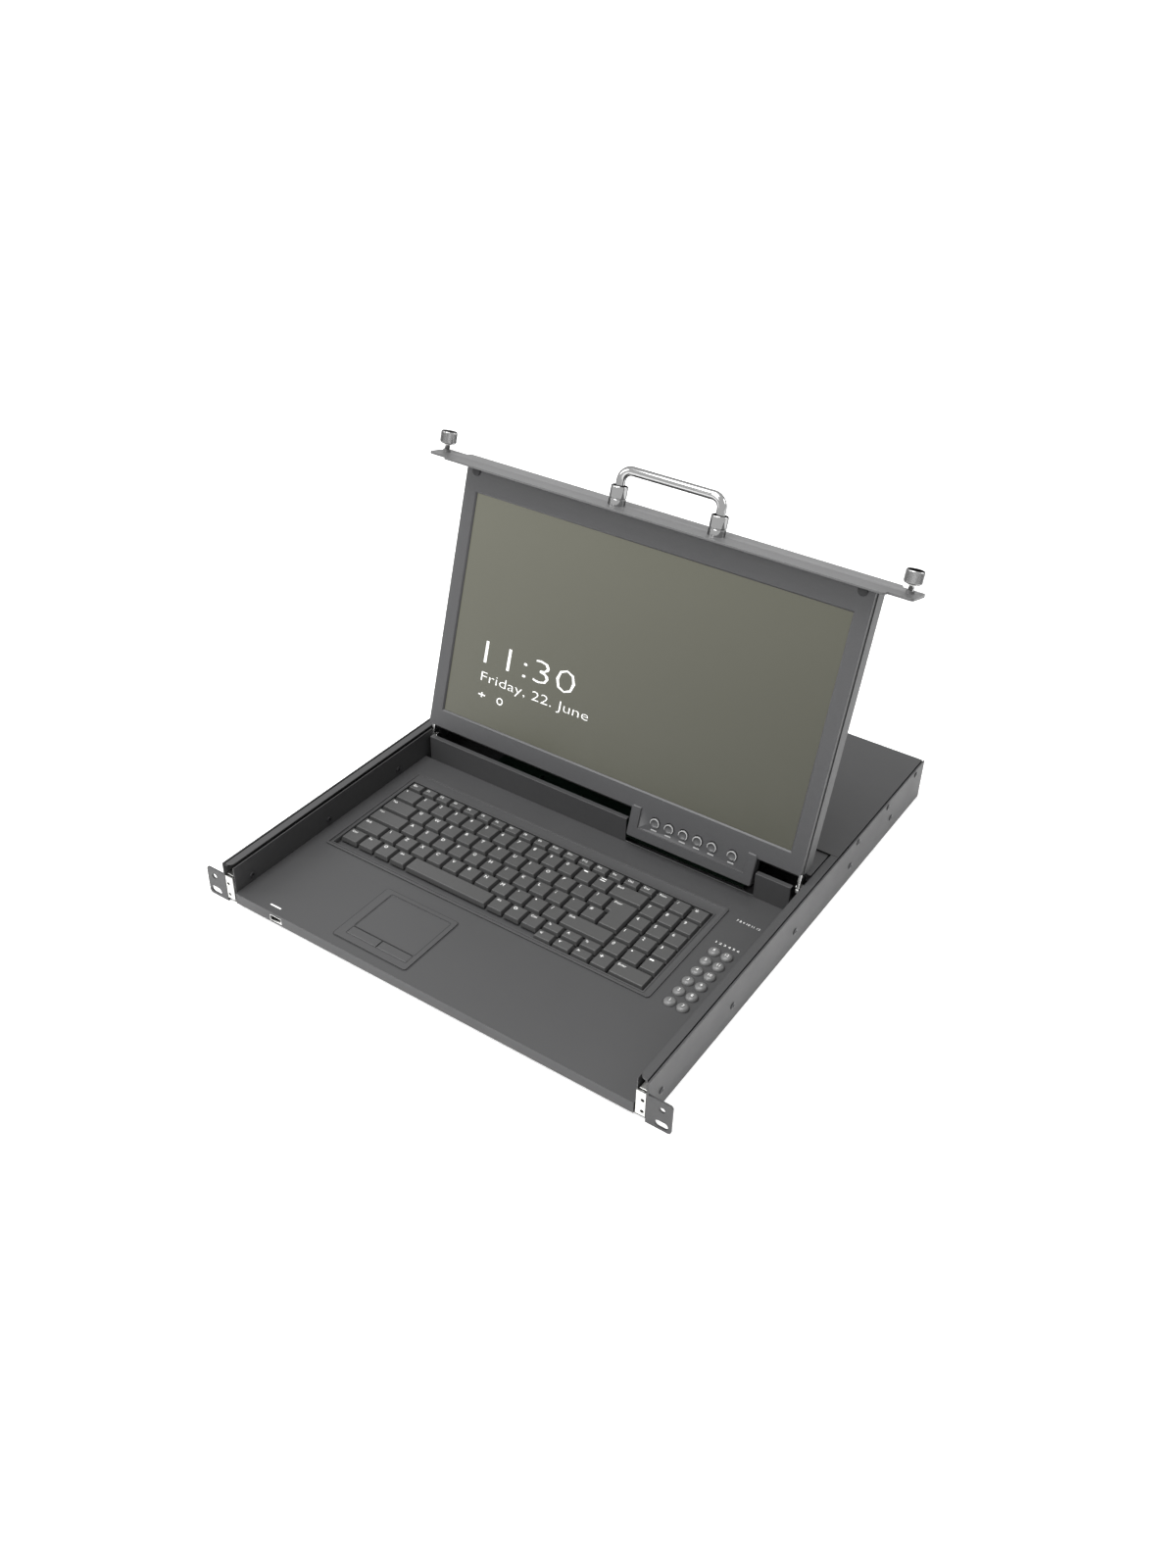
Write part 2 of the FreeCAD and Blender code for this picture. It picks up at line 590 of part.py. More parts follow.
def rear_panel():
    """Back wall with its cut-outs for the jacks, sockets, inlet and switch."""
    y_span = (CHASSIS_DEPTH - SHEET, CHASSIS_DEPTH)
    panel = box((-INNER, INNER), y_span, (CHASSIS_FLOOR, CHASSIS_TOP - SHEET))
    places = [(jack_block_x(x), (JACK_BOTTOM, JACK_BOTTOM + JACK_SIZE[0])) for x in JACK_BLOCKS_X]
    places.append((around(VIDEO_X, VIDEO_SIZE[0]), (JACK_BOTTOM, JACK_BOTTOM + VIDEO_SIZE[1])))
    places.append((rear_usb_x(), (JACK_BOTTOM, JACK_BOTTOM + REAR_USB_SIZE[1])))
    places.append((around(INLET_X, INLET_MOUTH[0] + 2 * SHEET),
                   around(INLET_HEIGHT, INLET_MOUTH[1] + 2 * SHEET)))
    places.append((around(SWITCH_X, SWITCH_SIZE[0]), around(INLET_HEIGHT, SWITCH_SIZE[1])))
    for x_span, z_span in places:
        panel = panel.cut(box(x_span, grown(y_span, PAST), z_span))
    return panel


def jack_block_x(centre):
    """Span of a jack block."""
    return grown((centre, centre), JACK_BLOCK_HALF)


def rear_usb_x():
    """Span of the stacked USB sockets."""
    return around(VIDEO_X + REAR_USB_OFFSET, REAR_USB_SIZE[0])


def jack_block(centre):
    """Six network jacks in one housing, open to the rear."""
    x_span = jack_block_x(centre)
    rear = CHASSIS_DEPTH + SEAM
    block = box(x_span, (rear - JACK_SIZE[1], rear), (JACK_BOTTOM, JACK_BOTTOM + JACK_SIZE[0]))
    low = JACK_BOTTOM + JACK_FLOOR
    for index in range(JACK_COUNT):
        middle = x_span[0] + (index + 0.5) * JACK_PITCH
        mouth = box(around(middle, JACK_MOUTH[0]), (rear - JACK_MOUTH[2], rear + PAST),
                    (low, low + JACK_MOUTH[1]))
        block = block.cut(mouth)
    return block


def video_socket():
    """A 15-way video socket with its two hexagonal jack screws."""
    rear = CHASSIS_DEPTH
    width, height, depth = VIDEO_SIZE
    body = box(around(VIDEO_X, width), (rear - depth, rear), (JACK_BOTTOM, JACK_BOTTOM + height))
    middle = JACK_BOTTOM + height / 2
    low_half, high_half, rise = SHELL_HALF
    corners = [(-high_half, rise), (high_half, rise), (low_half, -rise), (-low_half, -rise)]
    pieces = [body, prism([V(VIDEO_X + dx, rear, middle + dz) for dx, dz in corners], V(0, SHELL_PROUD, 0))]
    offset, radius, length = JACKSCREW
    for x in (VIDEO_X - offset, VIDEO_X + offset):
        pieces.append(sided(radius, V(x, rear, middle), length, Y_AXIS, JACKSCREW_SIDES))
    return joined(pieces)


def rear_usb():
    """Two stacked USB sockets."""
    rear = CHASSIS_DEPTH
    width, height, depth = REAR_USB_SIZE
    x_span = rear_usb_x()
    middle = sum(x_span) / 2
    stack = box(x_span, (rear - depth, rear + PAST), (JACK_BOTTOM, JACK_BOTTOM + height))
    mouth_front = rear - REAR_USB_MOUTH[2]
    for level in (0, 1):
        low = JACK_BOTTOM + REAR_USB_FLOOR + level * height / 2
        stack = stack.cut(box(around(middle, REAR_USB_MOUTH[0]), (mouth_front, rear + 2 * PAST),
                              (low, low + REAR_USB_MOUTH[1])))
        tongue_low = low + REAR_USB_TONGUE[2]
        stack = stack.fuse(box(around(middle, REAR_USB_TONGUE[0]), (mouth_front, rear),
                               (tongue_low, tongue_low + REAR_USB_TONGUE[1])))
    return stack.removeSplitter()


def rear_sockets():
    """The two jack blocks, the video socket and the two stacked USB sockets."""
    return Part.makeCompound([jack_block(x) for x in JACK_BLOCKS_X] + [video_socket(), rear_usb()])


def power_inlet():
    """Mains appliance inlet: flange outside the panel, moulded well and three pins."""
    rear = CHASSIS_DEPTH
    flange = box(around(INLET_X, INLET_FLANGE[0]), (rear, rear + INLET_FLANGE[2]),
                 around(INLET_HEIGHT, INLET_FLANGE[1]))
    flange = rounded(flange, INLET_CORNER, Y_AXIS)
    well = box(around(INLET_X, INLET_MOUTH[0] + 2 * SHEET), (rear - INLET_MOUTH[2], rear),
               around(INLET_HEIGHT, INLET_MOUTH[1] + 2 * SHEET))
    floor = rear - INLET_MOUTH[2] + INLET_FLOOR
    mouth = box(around(INLET_X, INLET_MOUTH[0]), (floor, rear + INLET_FLANGE[2] + PAST),
                around(INLET_HEIGHT, INLET_MOUTH[1]))
    upper = [edge for edge in edges_along(mouth, Y_AXIS) if edge.CenterOfMass.z > INLET_HEIGHT]
    body = joined([flange, well]).cut(mouth.makeChamfer(INLET_MOUTH_CORNER, upper))
    width, height, retreat = INLET_PIN
    pins = [box(around(INLET_X + dx, width), (floor, rear - retreat), around(INLET_HEIGHT + dz, height))
            for dx, dz in INLET_PINS]
    body = joined([body] + pins)
    offset, radius = INLET_HOLE
    for x in (INLET_X - offset, INLET_X + offset):
        body = body.cut(sided(radius, V(x, rear - PAST, INLET_HEIGHT), INLET_FLANGE[2] + 2 * PAST, Y_AXIS))
    return body


def switch_housing():
    """Fixed frame of the rocker switch with the pin that carries the rocker."""
    rear = CHASSIS_DEPTH
    x_span = around(SWITCH_X, SWITCH_SIZE[0])
    z_span = around(INLET_HEIGHT, SWITCH_SIZE[1])
    body = box(x_span, (rear - SWITCH_SIZE[2], rear), z_span)
    beyond, proud = SWITCH_RIM
    rim = bevelled(box(grown(x_span, beyond), (rear, rear + proud), grown(z_span, beyond)), SHEET, Y_AXIS)
    cavity = box(grown(x_span, -SWITCH_WALL), (rear - SWITCH_CAVITY, rear + proud + PAST),
                 grown(z_span, -SWITCH_WALL))
    pin = rod(ROCKER_PIN_RADIUS, V(x_span[0], rear - ROCKER_PIN_DEPTH, INLET_HEIGHT), SWITCH_SIZE[0], X_AXIS)
    return joined([joined([body, rim]).cut(cavity), pin])


def rocker():
    """Rocker of the power switch: two faces that meet in a shallow valley over the pin."""
    reach = SWITCH_SIZE[1] / 2 - ROCKER_SHORT
    crest = ROCKER_FACE + reach * math.tan(math.radians(SWITCH_TILT))
    back_middle, back_end = ROCKER_BACK
    width = SWITCH_SIZE[0] - 2 * (SWITCH_WALL + ROCKER_PLAY)
    section = [(ROCKER_FACE, 0), (crest, reach), (-back_end, reach), (-back_middle, 0), (-back_end, -reach),
               (crest, -reach)]
    body = prism([V(-width / 2, y, z) for y, z in section], V(width, 0, 0))
    body.rotate(V(0, 0, 0), X_AXIS, SWITCH_TILT)
    pin = V(SWITCH_X, CHASSIS_DEPTH - ROCKER_PIN_DEPTH, INLET_HEIGHT)
    body.translate(pin)
    return body.cut(rod(ROCKER_PIN_RADIUS + PIN_PLAY, pin - X_AXIS * width, 2 * width, X_AXIS))


def board_on_posts(x_span, y_span, bottom, floor, parts):
    """A circuit board on four posts. Parts are blocks: left, front, width and depth as shares of the board,
    and a height."""
    pieces = [box(x_span, y_span, (bottom, bottom + BOARD_THICK))]
    radius, inset = BOARD_POST
    for x in grown(x_span, -inset):
        for y in grown(y_span, -inset):
            pieces.append(sided(radius, V(x, y, floor), bottom - floor, Z_AXIS, POST_SIDES))
    length = x_span[1] - x_span[0]
    depth = y_span[1] - y_span[0]
    low = bottom + BOARD_THICK
    for left, front, wide, deep, height in parts:
        x = x_span[0] + left * length
        y = y_span[0] + front * depth
        pieces.append(box((x, x + wide * length), (y, y + deep * depth), (low, low + height)))
    return joined(pieces)


def switch_board():
    """Main board behind the drawer, which carries the rear jacks."""
    parts = [(0.18, 0.17, 0.1, 0.4, CHIP), (0.37, 0.17, 0.1, 0.4, CHIP), (0.6, 0.26, 0.07, 0.29, CHIP),
             (0.78, 0.09, 0.05, 0.32, CHIP), (0.92, 0.09, 0.03, 0.43, COIL)]
    x_span = (SWITCH_BOARD_INSET - INNER, VIDEO_X + SWITCH_BOARD_BEYOND)
    y_span = (CHASSIS_DEPTH - SWITCH_BOARD_DEPTH, CHASSIS_DEPTH - SWITCH_BOARD_GAP)
    return board_on_posts(x_span, y_span, JACK_BOTTOM - BOARD_THICK, CHASSIS_FLOOR + SHEET, parts)


def power_supply():
    """Enclosed mains power supply with a vented lid."""
    x_span = (VIDEO_X + SUPPLY_BESIDE[0], INNER - SUPPLY_BESIDE[1])
    y_span = (TRAY_DEPTH + SUPPLY_GAPS[0], CHASSIS_DEPTH - SUPPLY_GAPS[1])
    low = CHASSIS_FLOOR + SHEET
    top = low + SUPPLY_HEIGHT
    case = box(x_span, y_span, (low, top))
    pitch = (y_span[1] - y_span[0]) / (VENT_COUNT + 1)
    for index in range(VENT_COUNT):
        vent = around(y_span[0] + (index + 1) * pitch, VENT_WIDTH)
        case = case.cut(box(grown(x_span, -VENT_INSET), vent, (top - VENT_DEPTH, top + PAST)))
    return case


# ---- Ball slides ----
def channel(web_outer, opening, z_span, y_span, faces_in):
    """One slide member: a folded C section."""
    web_inner = web_outer - faces_in * SLIDE_SHEET
    low, high = z_span
    section = [(web_outer, low), (opening, low), (opening, low + SLIDE_SHEET),
               (web_inner, low + SLIDE_SHEET), (web_inner, high - SLIDE_SHEET),
               (opening, high - SLIDE_SHEET), (opening, high), (web_outer, high)]
    return prism([V(x, y_span[0], z) for x, z in section], V(0, y_span[1] - y_span[0], 0))


def slide_outer_members():
    """Slide members screwed to the chassis walls."""
    return both(channel(INNER, SLIDE_INNER + SLIDE_SHEET, OUTER_Z, OUTER_MEMBER, 1))


def slide_mid_members():
    """Intermediate members, which run half as far as the drawer."""
    return both(channel(MID_WEB, SLIDE_INNER + SLIDE_SHEET + SLIDE_NEST, MID_Z, MID_MEMBER, 1))


def slide_inner_members():
    """Members on the drawer walls, with the plate that closes the slide's front end."""
    member = channel(SLIDE_INNER, MID_WEB - SLIDE_SHEET - SLIDE_NEST, INNER_Z, INNER_MEMBER, -1)
    plate = box((SLIDE_INNER, INNER - END_PLATE_SIDE), END_PLATE, grown(OUTER_Z, -END_PLATE_TRIM))
    for rise in END_HOLE_HEIGHTS:
        foot = V(INNER - END_HOLE_INSET, END_PLATE[0] - PAST, SLIDE_MID_HEIGHT + rise)
        plate = plate.cut(sided(END_HOLE_RADIUS, foot, SHEET + 2 * PAST, Y_AXIS))
    return both(joined([member, plate]))


def ball_cages(outside, inside, x_centre, y_span):
    """Flat ball cages in the tracks above and below a member, at both slides."""
    strips = []
    for track in ((outside[0] + SLIDE_SHEET, inside[0]), (inside[1], outside[1] - SLIDE_SHEET)):
        strips.append(both(box(around(x_centre, CAGE_WIDTH), y_span, grown(track, -CAGE_PLAY))))
    return Part.makeCompound(strips)


def outer_ball_cages():
    """Cages between the outer and the intermediate members."""
    return ball_cages(OUTER_Z, MID_Z, SLIDE_INNER + OUTER_CAGE_OFFSET, OUTER_CAGE)


def inner_ball_cages():
    """Cages between the intermediate and the inner members."""
    return ball_cages(MID_Z, INNER_Z, SLIDE_INNER + INNER_CAGE_OFFSET, INNER_CAGE)


# ---- Drawer ----
def drawer_tray():
    """Folded drawer body: floor, side walls and rear wall, open at the front above the floor."""
    body = box((-SLIDE_INNER, SLIDE_INNER), (0, TRAY_DEPTH), (TRAY_BOTTOM, WALL_TOP))
    return body.cut(box((-DRAWER_WALL, DRAWER_WALL), (-PAST, TRAY_DEPTH - SHEET),
                        (TRAY_BOTTOM + SHEET, WALL_TOP + PAST)))


def deck_panel():
    """Deck around the keyboard, folded down at the front into the lip."""
    x_span = (-DECK_HALF, DECK_HALF)
    deck = box(x_span, (-EAR_SHEET, STEP_FRONT), (DECK_BOTTOM, DECK_TOP))
    lip = box(x_span, (-EAR_SHEET, -EAR_SHEET + SHEET), (LIP_BOTTOM, DECK_BOTTOM))
    panel = joined([deck, lip])
    through = (DECK_BOTTOM - PAST, DECK_TOP + PAST)
    panel = panel.cut(box(grown(KEY_WELL_X, SHEET), grown(KEY_WELL_Y, SHEET), through))
    panel = panel.cut(box(grown(PAD_FRAME_X, -PAD_HOUSING_INSET), grown(PAD_FRAME_Y, -PAD_HOUSING_INSET),
                          through))
    for x in port_columns():
        for y in port_button_ys():
            panel = panel.cut(sided(PORT_RADIUS + BUTTON_PLAY, V(x, y, through[0]), through[1] - through[0],
                                    Z_AXIS, BUTTON_SIDES))
    mouth_z = around(USB_CENTRE_HEIGHT, USB_SIZE[1] + 2 * USB_PLAY)
    return panel.cut(box(around(USB_X, USB_SIZE[0] + 2 * USB_PLAY), (-EAR_SHEET - PAST, 0), mouth_z))


def port_columns():
    """Places of the two columns of port buttons."""
    return [DRAWER_WALL - inset for inset in PORT_INSETS]


def port_button_ys():
    """Places of the port buttons along a column."""
    return [PORT_FIRST_Y + index * PORT_PITCH for index in range(PORT_COUNT)]


def hinge_wall():
    """Wall behind the keyboard with a narrow top flange, cut down where the pod swings through."""
    x_span = (-STEP_HALF, STEP_HALF)
    low = TRAY_BOTTOM + SHEET
    face = box(x_span, (STEP_FRONT, STEP_FRONT + SHEET), (low, STEP_TOP))
    flange = box(x_span, (STEP_FRONT, STEP_FRONT + STEP_FLANGE), (STEP_TOP - SHEET, STEP_TOP))
    foot = box(x_span, (STEP_FRONT, STEP_FRONT + STEP_FOOT), (low, low + SHEET))
    notch = box(grown(POD_X, NOTCH_PLAY), (STEP_FRONT - PAST, STEP_FRONT + STEP_FLANGE + PAST),
                (NOTCH_BOTTOM, STEP_TOP + PAST))
    return joined([face, flange, foot]).cut(notch)


def rear_deck():
    """Plate behind the lid, level with the chassis top, with a lip folded down at its front."""
    x_span = (-DECK_HALF, DECK_HALF)
    top = box(x_span, (REAR_DECK_FRONT, TRAY_DEPTH), (REAR_DECK_TOP - SHEET, REAR_DECK_TOP))
    lip = box(x_span, (REAR_DECK_FRONT, REAR_DECK_FRONT + SHEET),
              (REAR_DECK_TOP - REAR_DECK_LIP, REAR_DECK_TOP - SHEET))
    return joined([top, lip])


def control_board():
    """Keyboard and video board in the bay behind the hinge wall."""
    parts = [(0.1, 0.14, 0.08, 0.43, CHIP), (0.3, 0.25, 0.05, 0.25, CHIP), (0.63, 0.43, 0.1, 0.2, COIL)]
    y_span = (STEP_FRONT + CONTROL_BOARD_GAPS[0], TRAY_DEPTH - CONTROL_BOARD_GAPS[1])
    return board_on_posts(CONTROL_BOARD_X, y_span, CONTROL_BOARD_BOTTOM, TRAY_BOTTOM + SHEET, parts)


def hinge_pins():
    """Shouldered pins riveted through the drawer walls into the lid arms."""
    head = ARM_OUTER - ARM_SHEET - PIN_END_PLAY - PIN_HEAD_THICK
    shoulder = ARM_OUTER + PIN_END_PLAY
    pieces = [sided(PIN_HEAD, V(head, HINGE_Y, HINGE_Z), PIN_HEAD_THICK, X_AXIS),
              rod(PIN_RADIUS, V(head, HINGE_Y, HINGE_Z), shoulder - head, X_AXIS),
              sided(PIN_SHOULDER, V(shoulder, HINGE_Y, HINGE_Z), DRAWER_WALL - shoulder, X_AXIS)]
    return both(joined(pieces))


def drawer_screws():
    """Heads of the screws that hold the drawer walls to the inner slide members."""
    places = [DRAWER_SCREW_FIRST + index * DRAWER_SCREW_PITCH for index in range(DRAWER_SCREW_COUNT)]
    heads = []
    for y in places + [INNER_MEMBER[1] - DRAWER_SCREW_END]:
        head = sided(SCREW_RADIUS, V(DRAWER_WALL, y, INNER_Z[1] - SCREW_RADIUS), SCREW_HEAD, -X_AXIS)
        heads += [head, mirrored(head)]
    return Part.makeCompound(heads)


def usb_socket():
    """Socket in the front lip: a folded shell with its tongue."""
    width, height, depth = USB_SIZE
    side_gap, thickness, gap_above = USB_TONGUE
    x_span = around(USB_X, width)
    z_span = around(USB_CENTRE_HEIGHT, height)
    shell = box(x_span, (-EAR_SHEET, depth), z_span)
    shell = shell.cut(box(grown(x_span, -USB_WALL), (-EAR_SHEET - PAST, depth - USB_BACK),
                          grown(z_span, -USB_WALL)))
    tongue_top = z_span[1] - gap_above
    tongue = box(grown(x_span, -side_gap), (0, depth), (tongue_top - thickness, tongue_top))
    stand = box(grown(x_span, -USB_STAND_INSET), (USB_STAND_INSET, depth), (TRAY_BOTTOM + SHEET, z_span[0]))
    return joined([shell, tongue, stand])


# ---- Keyboard ----
def cap(x_span, y_span):
    """A key: a tapered cap on a square post."""
    post = key_post(sum(x_span) / 2, sum(y_span) / 2)
    return joined([cap_body(grown(x_span, -KEY_GAP / 2), grown(y_span, -KEY_GAP / 2)), post])


def cap_body(x_span, y_span):
    """The body of a key cap over its whole foot."""
    return tapered(x_span, y_span, (KEY_SKIRT, KEY_TOP), KEY_TAPER)


def key_post(x, y):
    """The post that guides a key."""
    return box(around(x, POST_SIZE), around(y, POST_SIZE), (POST_BOTTOM, KEY_SKIRT))


def row_keys(left, widths, front, depth):
    """Keys side by side from the left."""
    keys = []
    x = left
    for width in widths:
        keys.append(cap((x, x + width), (front, front + depth)))
        x += width
    return keys


def main_row(index, units, whole=True):
    """A main row, counted from the space bar's; the last key of a whole row ends with the main field."""
    widths = [unit * KEY_UNIT for unit in units]
    if whole:
        widths.append(MAIN_RIGHT - KEYS_LEFT - sum(widths))
    return row_keys(KEYS_LEFT, widths, row_front(index), ROW_PITCH)


def row_front(index):
    """Front edge of a main row, counted from the space bar's."""
    return KEYS_FRONT + index * ROW_PITCH


def function_keys():
    """The shallow row at the back."""
    pitch = (MAIN_RIGHT - KEYS_LEFT) / FUNCTION_COUNT
    return row_keys(KEYS_LEFT, [pitch] * FUNCTION_COUNT, FUNCTION_FRONT, FUNCTION_DEPTH)


def number_keys():
    """Number row with its wide key at the right."""
    return main_row(4, [NUMBER_FIRST_UNITS] + [1.0] * 12)


def upper_letter_keys():
    """Tab row up to the Enter key."""
    return main_row(3, [TAB_UNITS] + [1.0] * 12, whole=False)


def middle_letter_keys():
    """Caps row up to the Enter key."""
    return main_row(2, [CAPS_UNITS] + [1.0] * 12, whole=False)


def lower_letter_keys():
    """Shift row with a wide key at each end."""
    return main_row(1, [SHIFT_UNITS] + [1.0] * 11)


def modifier_keys():
    """Small keys on both sides of the space bar."""
    right = SPACE_LEFT + SPACE_UNITS * KEY_UNIT
    pitch = (ARROWS_LEFT - right) / 3
    keys = main_row(0, MODIFIER_UNITS, whole=False)
    return keys + row_keys(right, [pitch] * 3, row_front(0), ROW_PITCH)


def space_bar():
    """The long key."""
    return row_keys(SPACE_LEFT, [SPACE_UNITS * KEY_UNIT], row_front(0), ROW_PITCH)


def enter_key():
    """Tall Enter key: wide in the tab row and narrower in the caps row."""
    gap = KEY_GAP / 2
    right = MAIN_RIGHT - gap
    back = row_front(4) - gap
    wide = cap_body((KEYS_LEFT + (TAB_UNITS + 12) * KEY_UNIT + gap, right), (row_front(3) + gap, back))
    narrow_x = (KEYS_LEFT + (CAPS_UNITS + 12) * KEY_UNIT + gap, right)
    narrow = cap_body(narrow_x, (row_front(2) + gap, back))
    post = key_post(sum(narrow_x) / 2, row_front(2) + ROW_PITCH / 2)
    return [joined([wide, narrow, post])]


def arrow_keys():
    """Six half-height keys: left, down, right and the row with up behind them."""
    depth = (row_front(1) - NUMPAD_FRONT) / 2
    widths = [ARROW_PITCH] * 3
    keys = row_keys(ARROWS_LEFT, widths, NUMPAD_FRONT, depth)
    return keys + row_keys(ARROWS_LEFT, widths, NUMPAD_FRONT + depth, depth)


def numpad_keys():
    """Number pad, three columns, with a double-width key at the front right."""
    keys = row_keys(MAIN_RIGHT, [NUMPAD_PITCH, 2 * NUMPAD_PITCH], NUMPAD_FRONT, NUMPAD_ROW)
    for index in range(1, NUMPAD_ROWS):
        keys += row_keys(MAIN_RIGHT, [NUMPAD_PITCH] * 3, NUMPAD_FRONT + index * NUMPAD_ROW, NUMPAD_ROW)
    return keys


def keyboard_base(rows):
    """Surround on the deck, well walls and the guide plate with a slot for the posts of each row."""
    low = PLATE_TOP - PLATE_THICK
    outer = rounded(box(SURROUND_X, SURROUND_Y, (DECK_TOP, SURROUND_TOP)), SURROUND_CORNER, Z_AXIS)
    outer = outer.cut(box(KEY_WELL_X, KEY_WELL_Y, (low, SURROUND_TOP + PAST)))
    bead = box(grown(SURROUND_X, -BEAD_OUTSIDE), grown(SURROUND_Y, -BEAD_OUTSIDE),
               (SURROUND_TOP - BEAD_DEPTH, SURROUND_TOP + PAST))
    bead_inside = box(grown(KEY_WELL_X, BEAD_INSIDE), grown(KEY_WELL_Y, BEAD_INSIDE),
                      (DECK_TOP, SURROUND_TOP + 2 * PAST))
    outer = outer.cut(bead.cut(bead_inside))
    walls = box(grown(KEY_WELL_X, SHEET), grown(KEY_WELL_Y, SHEET), (low, DECK_TOP))
    walls = walls.cut(box(KEY_WELL_X, KEY_WELL_Y, (PLATE_TOP, DECK_TOP + PAST)))
    base = joined([outer, walls])
    for x_span, y in rows:
        base = base.cut(box(grown(x_span, POST_SIZE / 2 + POST_PLAY), around(y, POST_SIZE + 2 * POST_PLAY),
                            (low - PAST, PLATE_TOP + PAST)))
    return base


def guide_rows(keys):
    """Where the posts of the keys stand in rows: the span of their centres, and the row's place."""
    rows = {}
    for key in keys:
        lowest = min(key.Faces, key=lambda face: face.CenterOfMass.z).CenterOfMass
        rows.setdefault(round(lowest.y, 3), []).append(lowest.x)
    return [((min(xs), max(xs)), y) for y, xs in sorted(rows.items())]


def touchpad():
    """Touchpad module: raised frame, sensing plate and housing under the deck."""
    top = DECK_TOP + PAD_PROUD
    frame = rounded(box(PAD_FRAME_X, PAD_FRAME_Y, (DECK_TOP, top)), PAD_FRAME_CORNER, Z_AXIS)
    housing = box(grown(PAD_FRAME_X, -PAD_HOUSING_INSET), grown(PAD_FRAME_Y, -PAD_HOUSING_INSET),
                  (DECK_TOP - PAD_HOUSING_DEPTH, DECK_TOP))
    recess = bevelled(box(PAD_X, PAD_Y, (top - PAD_RECESS, top + PAST)), PAD_CORNER, Z_AXIS)
    well = box(PAD_X, PAD_BUTTON_Y, (DECK_TOP - PAD_WELL_DEPTH, top + PAST))
    return joined([frame, housing]).cut(recess).cut(well)


def touch_button(x_span):
    """One of the two bars in front of the touchpad."""
    top = DECK_TOP + PAD_PROUD + PAD_BUTTON_PROUD
    bar = box(grown(x_span, -BUTTON_PLAY), grown(PAD_BUTTON_Y, -BUTTON_PLAY),
              (DECK_TOP - PAD_BUTTON_DEPTH, top))
    rim = [edge for edge in bar.Edges if edge.BoundBox.ZMin > top - PAD_BUTTON_EDGE]
    return bar.makeChamfer(PAD_BUTTON_EDGE, rim)


def port_buttons(x):
    """A column of raised port buttons."""
    low = DECK_BOTTOM - PORT_DEPTH
    return Part.makeCompound([button(PORT_RADIUS, V(x, y, low), PORT_TOP - low, PORT_EDGE, Z_AXIS)
                              for y in port_button_ys()])


# ---- Lid ----
def lid_back_cover():
    """Folded tray behind the screen, slotted at the bottom for the hinge arms."""
    x_span = (-LID_HALF, LID_HALF)
    v_span = (0, LID_HEIGHT)
    shell = bevelled(box(x_span, v_span, (-LID_THICK, -BEZEL_DEPTH)), LID_CORNER, Z_AXIS)
    shell = shell.cut(box(grown(x_span, -SHEET), grown(v_span, -SHEET),
                          (SHEET - LID_THICK, PAST - BEZEL_DEPTH)))
    arm_slot = box((ARM_OUTER - ARM_SHEET - ARM_PLAY, ARM_OUTER), (-PAST, SHEET + PAST), ARM_W)
    return stand_up(shell.cut(arm_slot).cut(mirrored(arm_slot)))


def lid_bezel():
    """Plastic frame around the screen, with the control pod moulded on below it."""
    x_span = (BEZEL_INSET - LID_HALF, LID_HALF - BEZEL_INSET)
    v_span = (BEZEL_TRIM, LID_HEIGHT - BEZEL_TRIM)
    frame = bevelled(box(x_span, v_span, (-BEZEL_DEPTH, 0)), BEZEL_CORNER, Z_AXIS)
    frame = frame.cut(box(grown(x_span, -BEZEL_SHEET), grown(v_span, -BEZEL_SHEET),
                          (-BEZEL_DEPTH - PAST, -BEZEL_SHEET)))
    screen_x = (-SCREEN_HALF, SCREEN_HALF)
    frame = frame.cut(box(screen_x, SCREEN_V, (-BEZEL_SHEET - PAST, PAST)))
    frame = frame.cut(tapered(screen_x, SCREEN_V, (-SCREEN_BEVEL, PAST), -SCREEN_BEVEL - PAST))
    pod_v = (-POD_DROP, 0)
    pod = bevelled(box(POD_X, pod_v, (-POD_DEPTH, 0)), POD_CORNER, Z_AXIS)
    rim = bevelled(box(POD_X, (-POD_DROP, POD_RIM_TOP), (0, POD_RIM)), POD_CORNER, Z_AXIS)
    crest = [edge for edge in rim.Edges if edge.CenterOfMass.z > POD_RIM - 0.001]
    rim = rim.makeChamfer(POD_RIM_EDGE, crest)
    panel_x = (POD_X[0] + POD_PANEL[0], POD_X[0] + POD_PANEL[1])
    rim = rim.cut(box(panel_x, (POD_PANEL_BOTTOM, POD_RIM_TOP + PAST), (0, POD_RIM + PAST)))
    bridge = box(POD_X, (-POD_SHEET, v_span[0] + POD_SHEET), (-BEZEL_SHEET, 0))
    body = joined([frame, pod, bridge, rim])
    body = body.cut(box(grown(POD_X, -POD_SHEET), grown(pod_v, -POD_SHEET), (-POD_DEPTH - PAST, -POD_SHEET)))
    for along in POD_BUTTONS:
        foot = V(POD_X[0] + along, POD_BUTTON_V, -POD_DEPTH)
        body = body.cut(sided(POD_BUTTON_RADIUS + BUTTON_PLAY, foot, 2 * POD_DEPTH, Z_AXIS, BUTTON_SIDES))
    return stand_up(body)


def pod_button(along):
    """A raised button of the pod, with the hook that keeps it in."""
    x = POD_X[0] + along
    low = -POD_SHEET - POD_BUTTON_DEPTH
    edge_v = POD_BUTTON_V - POD_BUTTON_RADIUS
    body = button(POD_BUTTON_RADIUS, V(x, POD_BUTTON_V, low), POD_BUTTON_PROUD - low, POD_BUTTON_EDGE,
                  Z_AXIS)
    hook = box(around(x, HOOK_WIDTH), (edge_v - HOOK_REACH, edge_v + HOOK_REACH),
               (low, -POD_SHEET - HOOK_GAP))
    return stand_up(joined([body, hook]))


